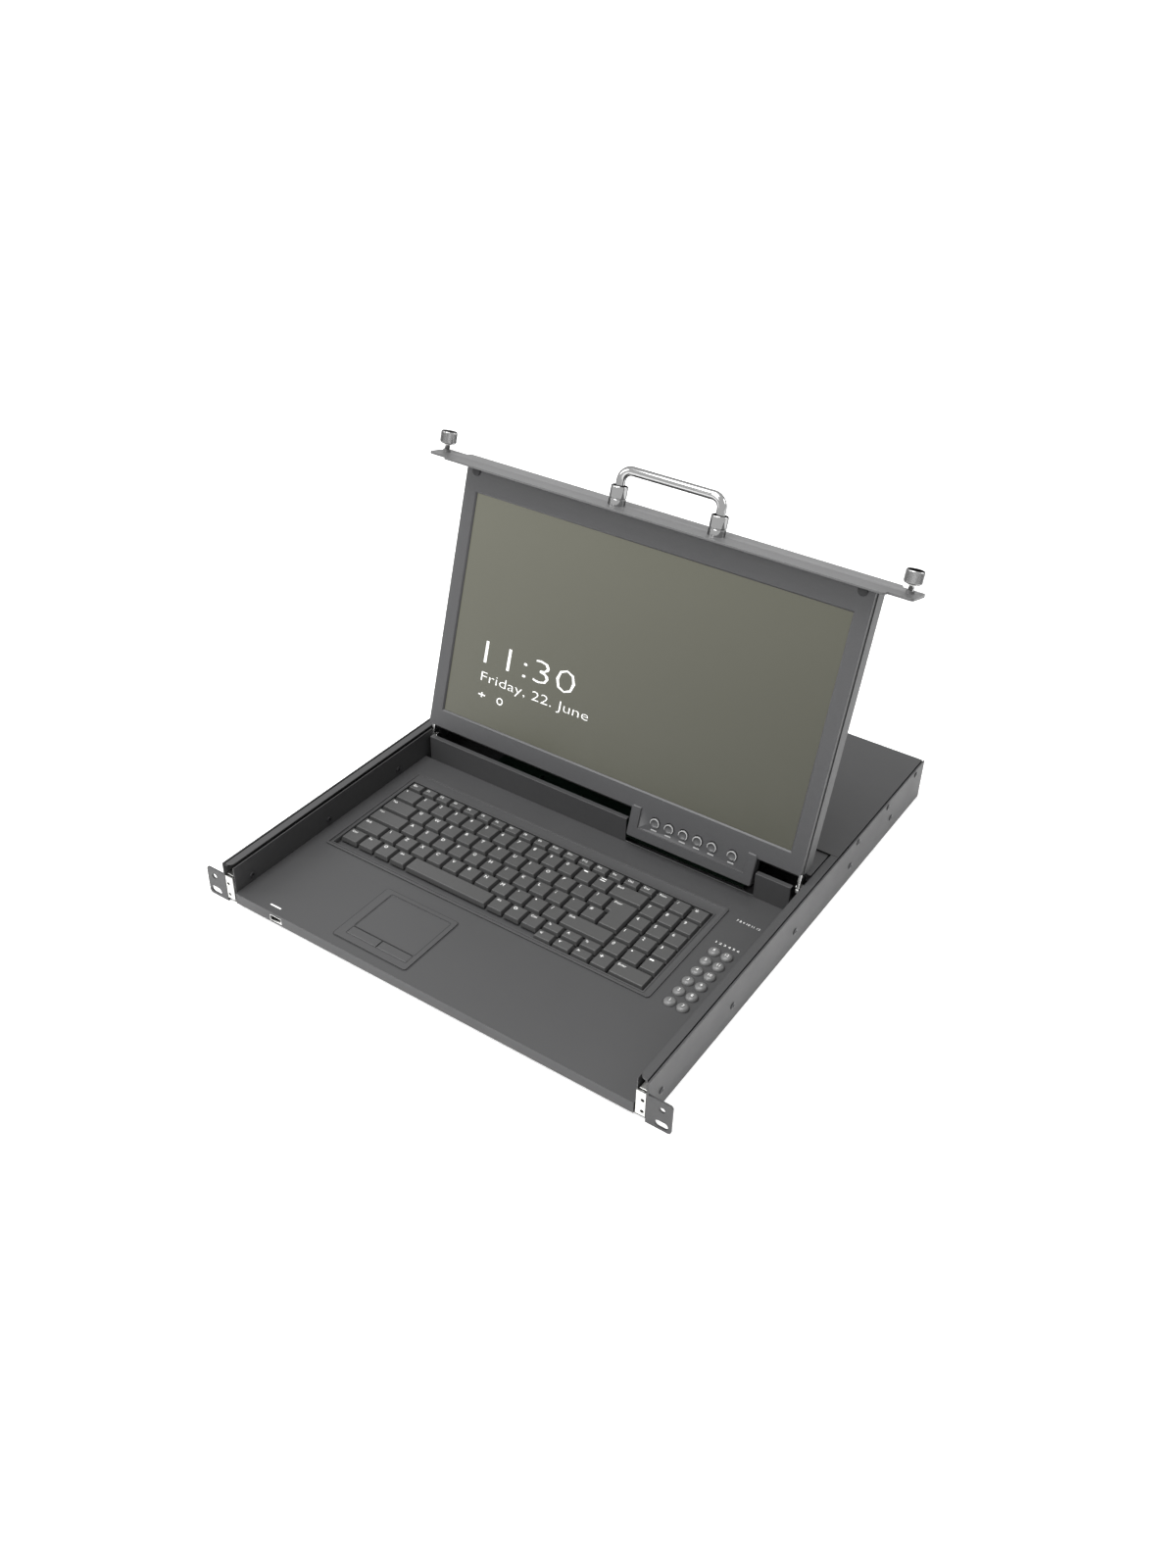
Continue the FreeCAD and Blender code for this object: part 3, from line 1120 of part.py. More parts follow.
def osd_board():
    """Circuit board behind the pod buttons, at the back of the pod."""
    low = OSD_BOARD_LIFT - POD_DEPTH
    v_span = (POD_SHEET + SEAM - POD_DROP, -POD_SHEET)
    return stand_up(box(grown(POD_X, -POD_SHEET - SEAM), v_span, (low, low + BOARD_THICK)))


def lcd_panel():
    """Liquid crystal panel with its backlight, clamped behind the bezel."""
    beside, beyond = PANEL_MARGIN
    return stand_up(box((-SCREEN_HALF - beside, SCREEN_HALF + beside), grown(SCREEN_V, beyond),
                        (-BEZEL_SHEET - PANEL_THICK, -BEZEL_SHEET)))


def lcd_driver_board():
    """Video board on posts behind the panel."""
    floor = SHEET - LID_THICK
    parts = [(0.33, 0.25, 0.18, 0.27, BOARD_THICK), (0.67, 0.5, 0.1, 0.22, BOARD_THICK),
             (0.08, 0.08, 0.07, 0.5, CHIP)]
    return stand_up(board_on_posts(LCD_BOARD_X, LCD_BOARD_V, floor + LCD_BOARD_LIFT, floor, parts))


def lid_arms():
    """Steel arms that carry the lid on the hinge pins."""
    inner = ARM_OUTER - ARM_SHEET
    blade = box((inner, ARM_OUTER), (-HINGE_DROP, ARM_REACH), grown(ARM_W, -ARM_PLAY))
    blade = bevelled(blade, ARM_CORNER, X_AXIS)
    eye = sided(ARM_EYE, V(inner, -HINGE_DROP, -HINGE_INSET), ARM_SHEET, X_AXIS, BUTTON_SIDES)
    bore = rod(PIN_RADIUS + PIN_PLAY, V(inner - PAST, -HINGE_DROP, -HINGE_INSET), ARM_SHEET + 2 * PAST,
               X_AXIS)
    return stand_up(both(joined([blade, eye]).cut(bore)))


def bar_blank():
    """Section of the front bar: flat back, front tapering towards its lower edge."""
    section = [(BAR_V, BAR_LOW_W), (BAR_FACE, BAR_LOW_W), (BAR_FACE, BAR_FOLD_W),
               (BAR_FACE - BAR_TAPER, BAR_HIGH_W), (BAR_V, BAR_HIGH_W)]
    return prism([V(-RACK_WIDTH / 2, v, w) for v, w in section], V(RACK_WIDTH, 0, 0))


def front_bar():
    """Bar across the front with its two ears, ferrules for the thumbscrews and rounded ends."""
    depth = (BAR_V, BAR_FACE)
    middle = rounded(box((-HALF, HALF), depth, (BAR_LOW_W, BAR_HIGH_W)), BAR_CORNER, Y_AXIS)
    ears = rounded(box(around(0, RACK_WIDTH), depth, around(THUMB_W, EAR_HEIGHT)), BAR_CORNER, Y_AXIS)
    bar = joined([middle, ears]).common(bar_blank())
    for x in (-SLOT_X, SLOT_X):
        foot = V(x, BAR_V, THUMB_W)
        bar = bar.fuse(sided(FERRULE_RADIUS, foot, BAR_THICK + FERRULE_LENGTH, Y_AXIS))
        bar = bar.cut(rod(STUD_RADIUS + STUD_PLAY, foot - Y_AXIS * PAST,
                          BAR_THICK + FERRULE_LENGTH + 2 * PAST, Y_AXIS))
    return bar.removeSplitter()


def handle():
    """Bent bar handle, fixed through the front bar."""
    left = HANDLE_X - HANDLE_SPACING / 2
    grip = BAR_FACE + HANDLE_REACH - HANDLE_ROD
    leg_end = V(left, grip - HANDLE_BEND, HANDLE_W)
    leg = handle_leg(left, BAR_FACE)
    section = face_on(regular(HANDLE_ROD, leg_end, Y_AXIS, DETAIL_SIDES))
    bend = section.revolve(leg_end + X_AXIS * HANDLE_BEND, Z_AXIS, -90)
    middle = sided(HANDLE_ROD, V(left + HANDLE_BEND, grip, HANDLE_W), HANDLE_SPACING / 2 - HANDLE_BEND, X_AXIS)
    half = joined([leg, bend, middle])
    return joined([half, half.mirror(V(HANDLE_X, 0, 0), X_AXIS)])


def handle_leg(x, start):
    """A straight leg of the handle, from a given distance to its bend."""
    end = BAR_FACE + HANDLE_REACH - HANDLE_ROD - HANDLE_BEND
    return sided(HANDLE_ROD, V(x, start, HANDLE_W), end - start, Y_AXIS)


def handle_collars(bar):
    """Turned ferrules around the handle's feet, seated on the bar."""
    low = BAR_FACE - BAR_TAPER
    collars = []
    for x in around(HANDLE_X, HANDLE_SPACING):
        collar = button(COLLAR_RADIUS, V(x, low, HANDLE_W), BAR_TAPER + COLLAR_LENGTH, COLLAR_EDGE,
                        Y_AXIS)
        collars.append(collar.cut(handle_leg(x, low - PAST)).cut(bar))
    return Part.makeCompound(collars)


def lid_bumpers():
    """Soft bumpers on the screen side near the front bar."""
    beside, below = BUMPER_INSET
    foot = V(LID_HALF - beside, LID_HEIGHT - below, 0)
    return both(button(BUMPER_RADIUS, foot, BUMPER_PROUD, BUMPER_EDGE, Z_AXIS, DETAIL_SIDES))


def thumbscrew(side):
    """Captive thumbscrew: a stud with the clip's groove, a neck and a knob."""
    x = side * SLOT_X
    groove = CLIP_V
    shoulder = groove + CLIP_THICK + 2 * CLIP_PLAY
    knob = BAR_FACE + KNOB_LIFT
    pieces = [rod(STUD_RADIUS, V(x, BAR_V + STUD_RETREAT, THUMB_W), groove - BAR_V - STUD_RETREAT, Y_AXIS),
              rod(STUD_RADIUS - GROOVE_CUT, V(x, groove, THUMB_W), shoulder - groove, Y_AXIS),
              sided(FERRULE_RADIUS, V(x, shoulder, THUMB_W), knob - shoulder, Y_AXIS),
              button(KNOB_RADIUS, V(x, knob, THUMB_W), KNOB_LENGTH, KNOB_EDGE, Y_AXIS)]
    return stand_up(joined(pieces))


def thumbscrew_clip(side):
    """Snap ring in the groove of a thumbscrew."""
    foot = V(side * SLOT_X, CLIP_V + CLIP_PLAY, THUMB_W)
    ring = sided(FERRULE_RADIUS, foot, CLIP_THICK, Y_AXIS)
    hole = rod(STUD_RADIUS - GROOVE_CUT + STUD_PLAY, foot - Y_AXIS * PAST, CLIP_THICK + 2 * PAST, Y_AXIS)
    return stand_up(ring.cut(hole))


# ---- Writing the parts ----
def write_node(name, shape):
    """Write one named part with the origin between the ear slots."""
    placed = shape.copy()
    placed.translate(V(0, 0, -SLOT_HEIGHT))
    placed.exportStep(os.path.join("parts", name + ".step"))


def chassis_nodes():
    """What stays in the rack, with the slides."""
    right = rail_right()
    return {
        "rail_right": right,
        "rail_left": mirrored(right),
        "chassis_pan": chassis_pan(),
        "rear_cover": rear_cover(),
        "rear_panel": rear_panel(),
        "chassis_screws": chassis_screws(),
        "rear_sockets": rear_sockets(),
        "power_inlet": power_inlet(),
        "switch_housing": switch_housing(),
        "power_rocker": rocker(),
        "switch_board": switch_board(),
        "power_supply": power_supply(),
        "slide_outer_members": slide_outer_members(),
        "slide_mid_members": slide_mid_members(),
        "slide_inner_members": slide_inner_members(),
        "outer_ball_cages": outer_ball_cages(),
        "inner_ball_cages": inner_ball_cages(),
    }


def drawer_nodes():
    """The drawer without its keyboard."""
    inner_column, outer_column = port_columns()
    return {
        "drawer_tray": drawer_tray(),
        "deck_panel": deck_panel(),
        "hinge_wall": hinge_wall(),
        "rear_deck": rear_deck(),
        "control_board": control_board(),
        "hinge_pins": hinge_pins(),
        "drawer_screws": drawer_screws(),
        "front_usb_socket": usb_socket(),
        "touchpad": touchpad(),
        "touch_button_left": touch_button((PAD_X[0], PAD_SPLIT)),
        "touch_button_right": touch_button((PAD_SPLIT, PAD_X[1])),
        "port_buttons_inner": port_buttons(inner_column),
        "port_buttons_outer": port_buttons(outer_column),
    }


def keyboard_nodes():
    """The key groups and the base that guides them."""
    groups = {
        "function_keys": function_keys(),
        "number_row_keys": number_keys(),
        "upper_letter_keys": upper_letter_keys(),
        "middle_letter_keys": middle_letter_keys(),
        "lower_letter_keys": lower_letter_keys(),
        "modifier_keys": modifier_keys(),
        "space_bar": space_bar(),
        "enter_key": enter_key(),
        "arrow_keys": arrow_keys(),
        "numpad_keys": numpad_keys(),
    }
    nodes = {name: keys[0] if len(keys) == 1 else Part.makeCompound(keys) for name, keys in groups.items()}
    side_pad = groups["numpad_keys"]
    main_field = [key for keys in groups.values() if keys is not side_pad for key in keys]
    nodes["keyboard_base"] = keyboard_base(guide_rows(main_field) + guide_rows(side_pad))
    return nodes


def lid_nodes():
    """The lid with everything it carries."""
    bar = front_bar()
    nodes = {
        "lid_back_cover": lid_back_cover(),
        "lid_bezel": lid_bezel(),
        "lcd_panel": lcd_panel(),
        "lid_boards": Part.makeCompound([lcd_driver_board(), osd_board()]),
        "lid_arms": lid_arms(),
        "front_bar": stand_up(bar),
        "handle": stand_up(handle()),
        "handle_collars": stand_up(handle_collars(bar)),
        "lid_bumpers": stand_up(lid_bumpers()),
    }
    for index, along in enumerate(POD_BUTTONS):
        nodes["pod_button_%d" % (index + 1)] = pod_button(along)
    for name, side in (("left", -1), ("right", 1)):
        nodes["thumbscrew_" + name] = thumbscrew(side)
        nodes["thumbscrew_clip_" + name] = thumbscrew_clip(side)
    return nodes


def make_nodes():
    """Every part by name."""
    nodes = chassis_nodes()
    nodes.update(drawer_nodes())
    nodes.update(keyboard_nodes())
    nodes.update(lid_nodes())
    return nodes


def main():
    """Make every part and write it."""
    os.makedirs("parts", exist_ok=True)
    nodes = make_nodes()
    for name, shape in nodes.items():
        write_node(name, shape)
        print("%-24s solids %3d  valid %s" % (name, len(shape.Solids), shape.isValid()))
    print("nodes:", len(nodes))


main()
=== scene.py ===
# %% [markdown]
# # A rackmount console drawer
# This file dresses a console drawer for a server rack: a flat steel box that slides out, with a keyboard
# and a touchpad on its deck and a screen that stands up from its rear edge. The solids come from CAD and
# already have their true sizes, so nothing is scaled or moved. Blender adds what a drawing leaves out:
# rounded edges, paint, plating, key legends, screw recesses, light and a camera. Nearly every place below
# is read from the solids, so that a legend stays on its key. Sizes are written in millimetres, and MM turns
# them into Blender's metres.

# %% The solids, units and axes
import json
import math

import bmesh
import bpy
from mathutils import Matrix, Vector

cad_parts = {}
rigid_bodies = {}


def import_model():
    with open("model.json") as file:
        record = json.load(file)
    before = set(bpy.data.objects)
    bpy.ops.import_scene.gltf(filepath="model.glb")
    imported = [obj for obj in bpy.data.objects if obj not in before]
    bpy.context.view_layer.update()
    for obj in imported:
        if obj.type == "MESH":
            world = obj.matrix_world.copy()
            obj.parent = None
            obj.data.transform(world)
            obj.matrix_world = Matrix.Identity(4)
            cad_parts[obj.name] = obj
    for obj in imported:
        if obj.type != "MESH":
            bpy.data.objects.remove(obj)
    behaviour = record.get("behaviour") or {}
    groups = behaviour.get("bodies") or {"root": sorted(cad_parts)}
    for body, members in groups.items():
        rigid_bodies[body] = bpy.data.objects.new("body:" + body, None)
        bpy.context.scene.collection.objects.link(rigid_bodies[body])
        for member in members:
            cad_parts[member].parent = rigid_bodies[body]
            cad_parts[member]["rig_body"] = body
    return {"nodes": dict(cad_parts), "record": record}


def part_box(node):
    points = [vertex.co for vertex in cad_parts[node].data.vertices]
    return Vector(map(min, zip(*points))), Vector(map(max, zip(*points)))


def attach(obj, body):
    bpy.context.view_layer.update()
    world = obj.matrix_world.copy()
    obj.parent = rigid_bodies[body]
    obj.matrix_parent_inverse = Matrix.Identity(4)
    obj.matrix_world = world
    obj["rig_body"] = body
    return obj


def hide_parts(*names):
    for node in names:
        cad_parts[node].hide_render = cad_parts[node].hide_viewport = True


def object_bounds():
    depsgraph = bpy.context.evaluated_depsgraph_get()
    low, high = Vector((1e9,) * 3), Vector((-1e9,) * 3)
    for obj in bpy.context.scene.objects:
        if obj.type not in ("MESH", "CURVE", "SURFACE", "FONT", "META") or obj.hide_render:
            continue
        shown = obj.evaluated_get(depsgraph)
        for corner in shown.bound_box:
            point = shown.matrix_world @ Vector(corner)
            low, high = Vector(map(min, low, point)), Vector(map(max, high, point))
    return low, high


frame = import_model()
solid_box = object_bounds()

MM = 0.001
NODES = frame["nodes"]
X_AXIS = Vector((1, 0, 0))
Y_AXIS = Vector((0, 1, 0))
Z_AXIS = Vector((0, 0, 1))
print(f"{len(NODES)} solids, {(solid_box[1] - solid_box[0])[0] / MM:.1f} mm across the ears")

# %% [markdown]
# ## Finding places
# A solid may hold several loose parts, such as a row of keys. Places could be typed in by hand, but they
# would be wrong as soon as the drawing changes. Here each loose part is found by walking its edges, and
# its box then says where a legend, a screw or a button goes.

# %% Boxes of loose parts
WELD = 0.01 * MM
SMALLEST_PART = 2 * MM
ROW_STEP = 4 * MM


def merged(mesh):
    """A bmesh of this mesh with its corners joined."""
    work = bmesh.new()
    work.from_mesh(mesh)
    bmesh.ops.remove_doubles(work, verts=work.verts, dist=WELD)
    return work


def box_of(points):
    """The lowest and highest corner of these points."""
    columns = list(zip(*points))
    return Vector([min(c) for c in columns]), Vector([max(c) for c in columns])


def middle(box):
    """The middle of a box."""
    return (box[0] + box[1]) / 2


def loose_parts(node, axes=Matrix.Identity(3)):
    """The box of each loose part of a solid along these axes, by rows from the back, then left to right."""
    work = merged(NODES[node].data)
    turned = axes.transposed()
    seen = set()
    boxes = []
    for first in work.verts:
        if first in seen:
            continue
        seen.add(first)
        waiting = [first]
        members = []
        while waiting:
            corner = waiting.pop()
            members.append(turned @ corner.co)
            for edge in corner.link_edges:
                other = edge.other_vert(corner)
                if other not in seen:
                    seen.add(other)
                    waiting.append(other)
        boxes.append(box_of(members))
    work.free()
    big = [b for b in boxes if (b[1] - b[0]).length > SMALLEST_PART]
    return sorted(big, key=lambda b: (-round(middle(b).y / ROW_STEP), b[0].x))


print(len(loose_parts("numpad_keys")), "keys in the number pad")

# %% [markdown]
# The lid leans back, so its pieces are measured along the lid's own axes: across, up its face, and out of
# its face. The angle could be copied from the drawing, but the largest front face of the LCD panel already
# gives it.

# %% Axes of the lid
def widest_front_face(node):
    """The direction of the largest face of a solid that looks forward."""
    areas = {}
    for face in NODES[node].data.polygons:
        if face.normal.y < 0:
            key = tuple(round(c, 3) for c in face.normal)
            areas[key] = areas.get(key, 0) + face.area
    return Vector(max(areas, key=areas.get)).normalized()


LID_OUT = widest_front_face("lcd_panel")
LID_UP = LID_OUT.cross(X_AXIS)
LID = Matrix((X_AXIS, LID_UP, LID_OUT)).transposed()


def lid_box(node):
    """The box of a solid along the lid's axes."""
    turned = LID.transposed()
    return box_of([turned @ v.co for v in NODES[node].data.vertices])


print(f"the lid leans {math.degrees(math.asin(LID_UP.y)):.1f} degrees behind upright")

# %% [markdown]
# ## Shapes
# Most small pieces are made from corner rings joined by bands of faces. A turned piece, such as a knob, a
# collar or a button, is a profile carried round an axis. Blender's Screw modifier could do that too, but a
# function that takes pairs of radius and height closes the ends at once, and its numbers are the sizes on
# the object.

# %% From a shape to a piece
SMOOTH_BELOW = 32                  # degrees between faces that are shaded as one surface


def placed(name, data):
    """A new object in the scene that carries this mesh, curve, lamp or camera."""
    thing = bpy.data.objects.new(name, data)
    bpy.context.scene.collection.objects.link(thing)
    return thing


def plain_mesh(thing):
    """The mesh of an object as its modifiers leave it. The object itself is removed."""
    bpy.context.view_layer.update()
    mesh = bpy.data.meshes.new_from_object(thing.evaluated_get(bpy.context.evaluated_depsgraph_get()))
    bpy.data.objects.remove(thing)
    return mesh


def finished_mesh(work, name):
    """Turns a bmesh into a mesh with smooth faces and sharp corners, and frees it."""
    mesh = bpy.data.meshes.new(name)
    work.to_mesh(mesh)
    work.free()
    mesh.shade_smooth()
    mesh.set_sharp_from_angle(angle=math.radians(SMOOTH_BELOW))
    return mesh


def shown(name, mesh, material, body, nodes=()):
    """Puts a mesh in the scene as a piece that rides on a body, and hides the solids it stands for."""
    piece = placed(name, mesh)
    mesh.materials.clear()
    mesh.materials.append(material)
    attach(piece, body)
    if nodes:
        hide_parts(*nodes)
    return piece


def body_of(node):
    """The body that carries a solid."""
    return NODES[node]["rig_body"]


print("the keys above the space bar ride on", body_of("lower_letter_keys"))

# %% Rings, bands and turned shapes
CURVE_STEPS = 32


def circle(work, radius, height, steps):
    """A ring of corners round Z, in millimetres."""
    angles = [2 * math.pi * i / steps for i in range(steps)]
    return [work.verts.new((radius * MM * math.cos(a), radius * MM * math.sin(a), height * MM))
            for a in angles]


def band(work, lower, upper):
    """Faces between two rings of corners. One ring may be a single corner."""
    count = max(len(lower), len(upper))
    for i in range(count):
        j = (i + 1) % count
        corners = [lower[i % len(lower)], lower[j % len(lower)],
                   upper[j % len(upper)], upper[i % len(upper)]]
        work.faces.new(dict.fromkeys(corners))


def turned_shape(profile):
    """A closed mesh turned round Z from pairs of radius and height, in millimetres, from the bottom up."""
    work = bmesh.new()
    rings = []
    for radius, height in profile:
        if radius == 0:
            rings.append([work.verts.new((0, 0, height * MM))])
        else:
            rings.append(circle(work, radius, height, CURVE_STEPS))
    for lower, upper in zip(rings, rings[1:]):
        band(work, lower, upper)
    for ring in (rings[0], rings[-1]):
        if len(ring) > 1:
            work.faces.new(ring)
    bmesh.ops.recalc_face_normals(work, faces=work.faces)
    return finished_mesh(work, "turned")


def prism(first, second):
    """A closed mesh between two outlines with equally many corners, in millimetres."""
    work = bmesh.new()
    ends = [[work.verts.new([v * MM for v in corner]) for corner in outline] for outline in (first, second)]
    band(work, *ends)
    work.faces.new(list(reversed(ends[0])))
    work.faces.new(ends[1])
    bmesh.ops.recalc_face_normals(work, faces=work.faces)
    return finished_mesh(work, "prism")


print("round shapes have", CURVE_STEPS, "sides")

# %% [markdown]
# ## Shared effects for the materials
# Real finishes are never even. Powder coat and moulded plastic have a fine grain, hands leave patches that
# shine a little more, and large painted faces drift slightly in tone. Each effect could be rebuilt in
# every material, but as a node group it is made once and takes each material's own values. They read
# Object coordinates in metres, so the grain has the same size on every piece.

# %% Helpers for node trees
def new_group(name, inputs, outputs):
    """An empty shader group with these sockets."""
    tree = bpy.data.node_groups.new(name, "ShaderNodeTree")
    for label, kind in inputs:
        tree.interface.new_socket(label, in_out="INPUT", socket_type=kind)
    for label, kind in outputs:
        tree.interface.new_socket(label, in_out="OUTPUT", socket_type=kind)
    return tree, tree.nodes.new("NodeGroupInput"), tree.nodes.new("NodeGroupOutput")


def arithmetic(tree, operation, *values, clamp=False):
    """The output of a Math node. Each value is a number or the socket that feeds it."""
    node = tree.nodes.new("ShaderNodeMath")
    node.operation = operation
    node.use_clamp = clamp
    for socket, value in zip(node.inputs, values):
        if isinstance(value, (int, float)):
            socket.default_value = value
        else:
            tree.links.new(value, socket)
    return node.outputs[0]


def noise(tree, detail, scale=1.0):
    """A noise texture on Object coordinates. Scale is in features per metre, and may be linked instead."""
    texture = tree.nodes.new("ShaderNodeTexNoise")
    texture.inputs["Scale"].default_value = scale
    texture.inputs["Detail"].default_value = detail
    tree.links.new(tree.nodes.new("ShaderNodeTexCoord").outputs["Object"], texture.inputs["Vector"])
    return texture


print("helpers for node trees are ready")

# %% Grain, gloss and tone
FLOAT, COLOUR, NORMAL = "NodeSocketFloat", "NodeSocketColor", "NodeSocketVector"
PATCHES = {"scale": 28, "detail": 4.0}
CLOUDS = {"scale": 9, "detail": 3.0}
GRAIN_DETAIL = 2.0


def make_grain_group():
    """A bump from fine noise."""
    tree, given, result = new_group("Fine grain", [("Scale", FLOAT), ("Depth", FLOAT)], [("Normal", NORMAL)])
    texture = noise(tree, GRAIN_DETAIL)
    bump = tree.nodes.new("ShaderNodeBump")
    tree.links.new(given.outputs["Scale"], texture.inputs["Scale"])
    tree.links.new(given.outputs["Depth"], bump.inputs["Distance"])
    tree.links.new(texture.outputs["Fac"], bump.inputs["Height"])
    tree.links.new(bump.outputs["Normal"], result.inputs["Normal"])
    return tree


def make_handling_group():
    """A roughness that varies in patches round its middle value."""
    tree, given, result = new_group("Handled gloss", [("Roughness", FLOAT), ("Spread", FLOAT)],
                                    [("Roughness", FLOAT)])
    centred = arithmetic(tree, "SUBTRACT", noise(tree, **PATCHES).outputs["Fac"], 0.5)
    total = arithmetic(tree, "MULTIPLY_ADD", centred, given.outputs["Spread"], given.outputs["Roughness"],
                       clamp=True)
    tree.links.new(total, result.inputs["Roughness"])
    return tree


def make_tone_group():
    """A colour that is slightly lighter or darker in wide clouds."""
    tree, given, result = new_group("Tone drift", [("Color", COLOUR), ("Amount", FLOAT)],
                                    [("Color", COLOUR)])
    amount = given.outputs["Amount"]
    darkest = arithmetic(tree, "MULTIPLY_ADD", amount, -0.5, 1.0)
    brightness = arithmetic(tree, "MULTIPLY_ADD", noise(tree, **CLOUDS).outputs["Fac"], amount, darkest)
    colour = tree.nodes.new("ShaderNodeVectorMath")
    colour.operation = "SCALE"
    tree.links.new(given.outputs["Color"], colour.inputs[0])
    tree.links.new(brightness, colour.inputs["Scale"])
    tree.links.new(colour.outputs["Vector"], result.inputs["Color"])
    return tree


GRAIN = make_grain_group()
HANDLING = make_handling_group()
TONE = make_tone_group()
print("shared effects:", ", ".join(g.name for g in (GRAIN, HANDLING, TONE)))

# %% [markdown]
# ## Finishes
# One function joins the three effects to a Principled shader, and each finish says only what is its own:
# its colour, how rough and how metallic it is, and the size and depth of its grain. A colour is written as
# it should render under plain light. Grain is a pair of features per metre and depth in metres.

# %% A finish from the shared effects
FINE_GRAIN = (1500, 0.00002)


def shader_of(material):
    """The Principled shader of a material."""
    return material.node_tree.nodes["Principled BSDF"]


def use_group(material, group, values, output, target):
    """Adds a shared group, sets its inputs and links its output."""
    node = material.node_tree.nodes.new("ShaderNodeGroup")
    node.node_tree = group
    for label, value in values.items():
        node.inputs[label].default_value = value
    material.node_tree.links.new(node.outputs[output], target)


def finish(name, colour, roughness, metallic=0.0, grain=FINE_GRAIN, spread=0.12, drift=0.1):
    """A Principled material with fine grain, handled gloss and a slight drift in tone."""
    material = bpy.data.materials.new(name)
    material.use_nodes = True
    inputs = shader_of(material).inputs
    inputs["Metallic"].default_value = metallic
    use_group(material, TONE, {"Color": (*colour, 1), "Amount": drift}, "Color", inputs["Base Color"])
    use_group(material, HANDLING, {"Roughness": roughness, "Spread": spread}, "Roughness",
              inputs["Roughness"])
    use_group(material, GRAIN, {"Scale": grain[0], "Depth": grain[1]}, "Normal", inputs["Normal"])
    return material


print(f"common grain: {FINE_GRAIN[0]} features per metre, {FINE_GRAIN[1] / MM} mm deep")

# %% [markdown]
# Chassis, drawer and lid are steel with a black powder coat, and the bar across the front is smoother. The
# bar's colour is a little lighter than the coat: painted light for the light that falls on its face. The
# slides are zinc plated, the sockets and the lid's arms are nickel plated, and the handle, the thumbscrews
# and the hinge pins are chromed. Scratched and brushed metal would need a direction in its grain, but new
# plating
# is even: a metallic shader with very shallow grain is enough.

# %% Painted and plated metal
METALS = {
    "black_powder_coat": {"colour": (0.038, 0.038, 0.039), "roughness": 0.5, "grain": (1300, 0.00004)},
    # bar_paint is lighter than the powder coat: painted light for the light on the bar's face.
    "bar_paint": {"colour": (0.085, 0.085, 0.086), "roughness": 0.44, "grain": (1300, 0.00003)},
    "zinc_plate": {"colour": (0.62, 0.62, 0.6), "roughness": 0.36, "metallic": 1.0, "spread": 0.2},
    "nickel_plate": {"colour": (0.75, 0.75, 0.74), "roughness": 0.2, "metallic": 1.0,
                     "grain": (900, 0.000005)},
    # Chrome's colour is darker than real chrome: painted shade for the dark surroundings its reflections
    # would show.
    "chrome": {"colour": (0.36, 0.36, 0.36), "roughness": 0.1, "metallic": 1.0, "grain": (600, 0.000003),
               "spread": 0.05, "drift": 0.04},
    "black_screws": {"colour": (0.05, 0.05, 0.052), "roughness": 0.34, "metallic": 0.6, "spread": 0.2}}
FINISH = {name: finish(name, **look) for name, look in METALS.items()}
for plated in ("nickel_plate", "chrome"):
    # A black edge tint is a painted dark reflection: it darkens the grazing edges where dark surroundings
    # would show.
    shader_of(FINISH[plated]).inputs["Specular Tint"].default_value = (0, 0, 0, 1)
print(len(METALS), "metal finishes")

# %% [markdown]
# The bezel, the keyboard's surround and the key caps are moulded plastic, and the port buttons are rubber.
# They are all black or dark grey. What tells them apart is mostly gloss and grain, so each has its own
# roughness and depth of grain.

# %% Moulded plastic and rubber
PLASTICS = {
    "bezel_plastic": {"colour": (0.05, 0.05, 0.052), "roughness": 0.46, "grain": (1800, 0.00003)},
    "key_plastic": {"colour": (0.05, 0.05, 0.05), "roughness": 0.42, "grain": (2500, 0.00001)},
    "keyboard_plastic": {"colour": (0.04, 0.04, 0.041), "roughness": 0.5, "grain": (2200, 0.00002)},
    "touchpad_plastic": {"colour": (0.041, 0.041, 0.042), "roughness": 0.44, "grain": (2600, 0.00001)},
    "button_rubber": {"colour": (0.12, 0.12, 0.12), "roughness": 0.36, "grain": (1800, 0.00001)},
    "pod_button_plastic": {"colour": (0.07, 0.07, 0.072), "roughness": 0.32, "grain": (1800, 0.00001)},
    "rocker_plastic": {"colour": (0.02, 0.02, 0.021), "roughness": 0.28, "grain": (1800, 0.00001)},
    "black_trim": {"colour": (0.03, 0.03, 0.031), "roughness": 0.42},
    "rubber": {"colour": (0.02, 0.02, 0.021), "roughness": 0.72, "grain": (1200, 0.00004)}}
FINISH.update({name: finish(name, **look) for name, look in PLASTICS.items()})
print(len(PLASTICS), "plastic and rubber finishes")

# %% [markdown]
# Legends are printed white on the keys, and the bars under the buttons below the screen are printed grey.
# The grey arcs round those buttons are painted highlights on their rims. The clock and date are part of a
# lit picture, so they glow a little. A stronger glow would hide the shape of the letters.

# %% Print, painted highlights, gold and lit lettering
WHITE_PRINT = finish("white_print", (0.78, 0.78, 0.77), 0.5, drift=0.05)
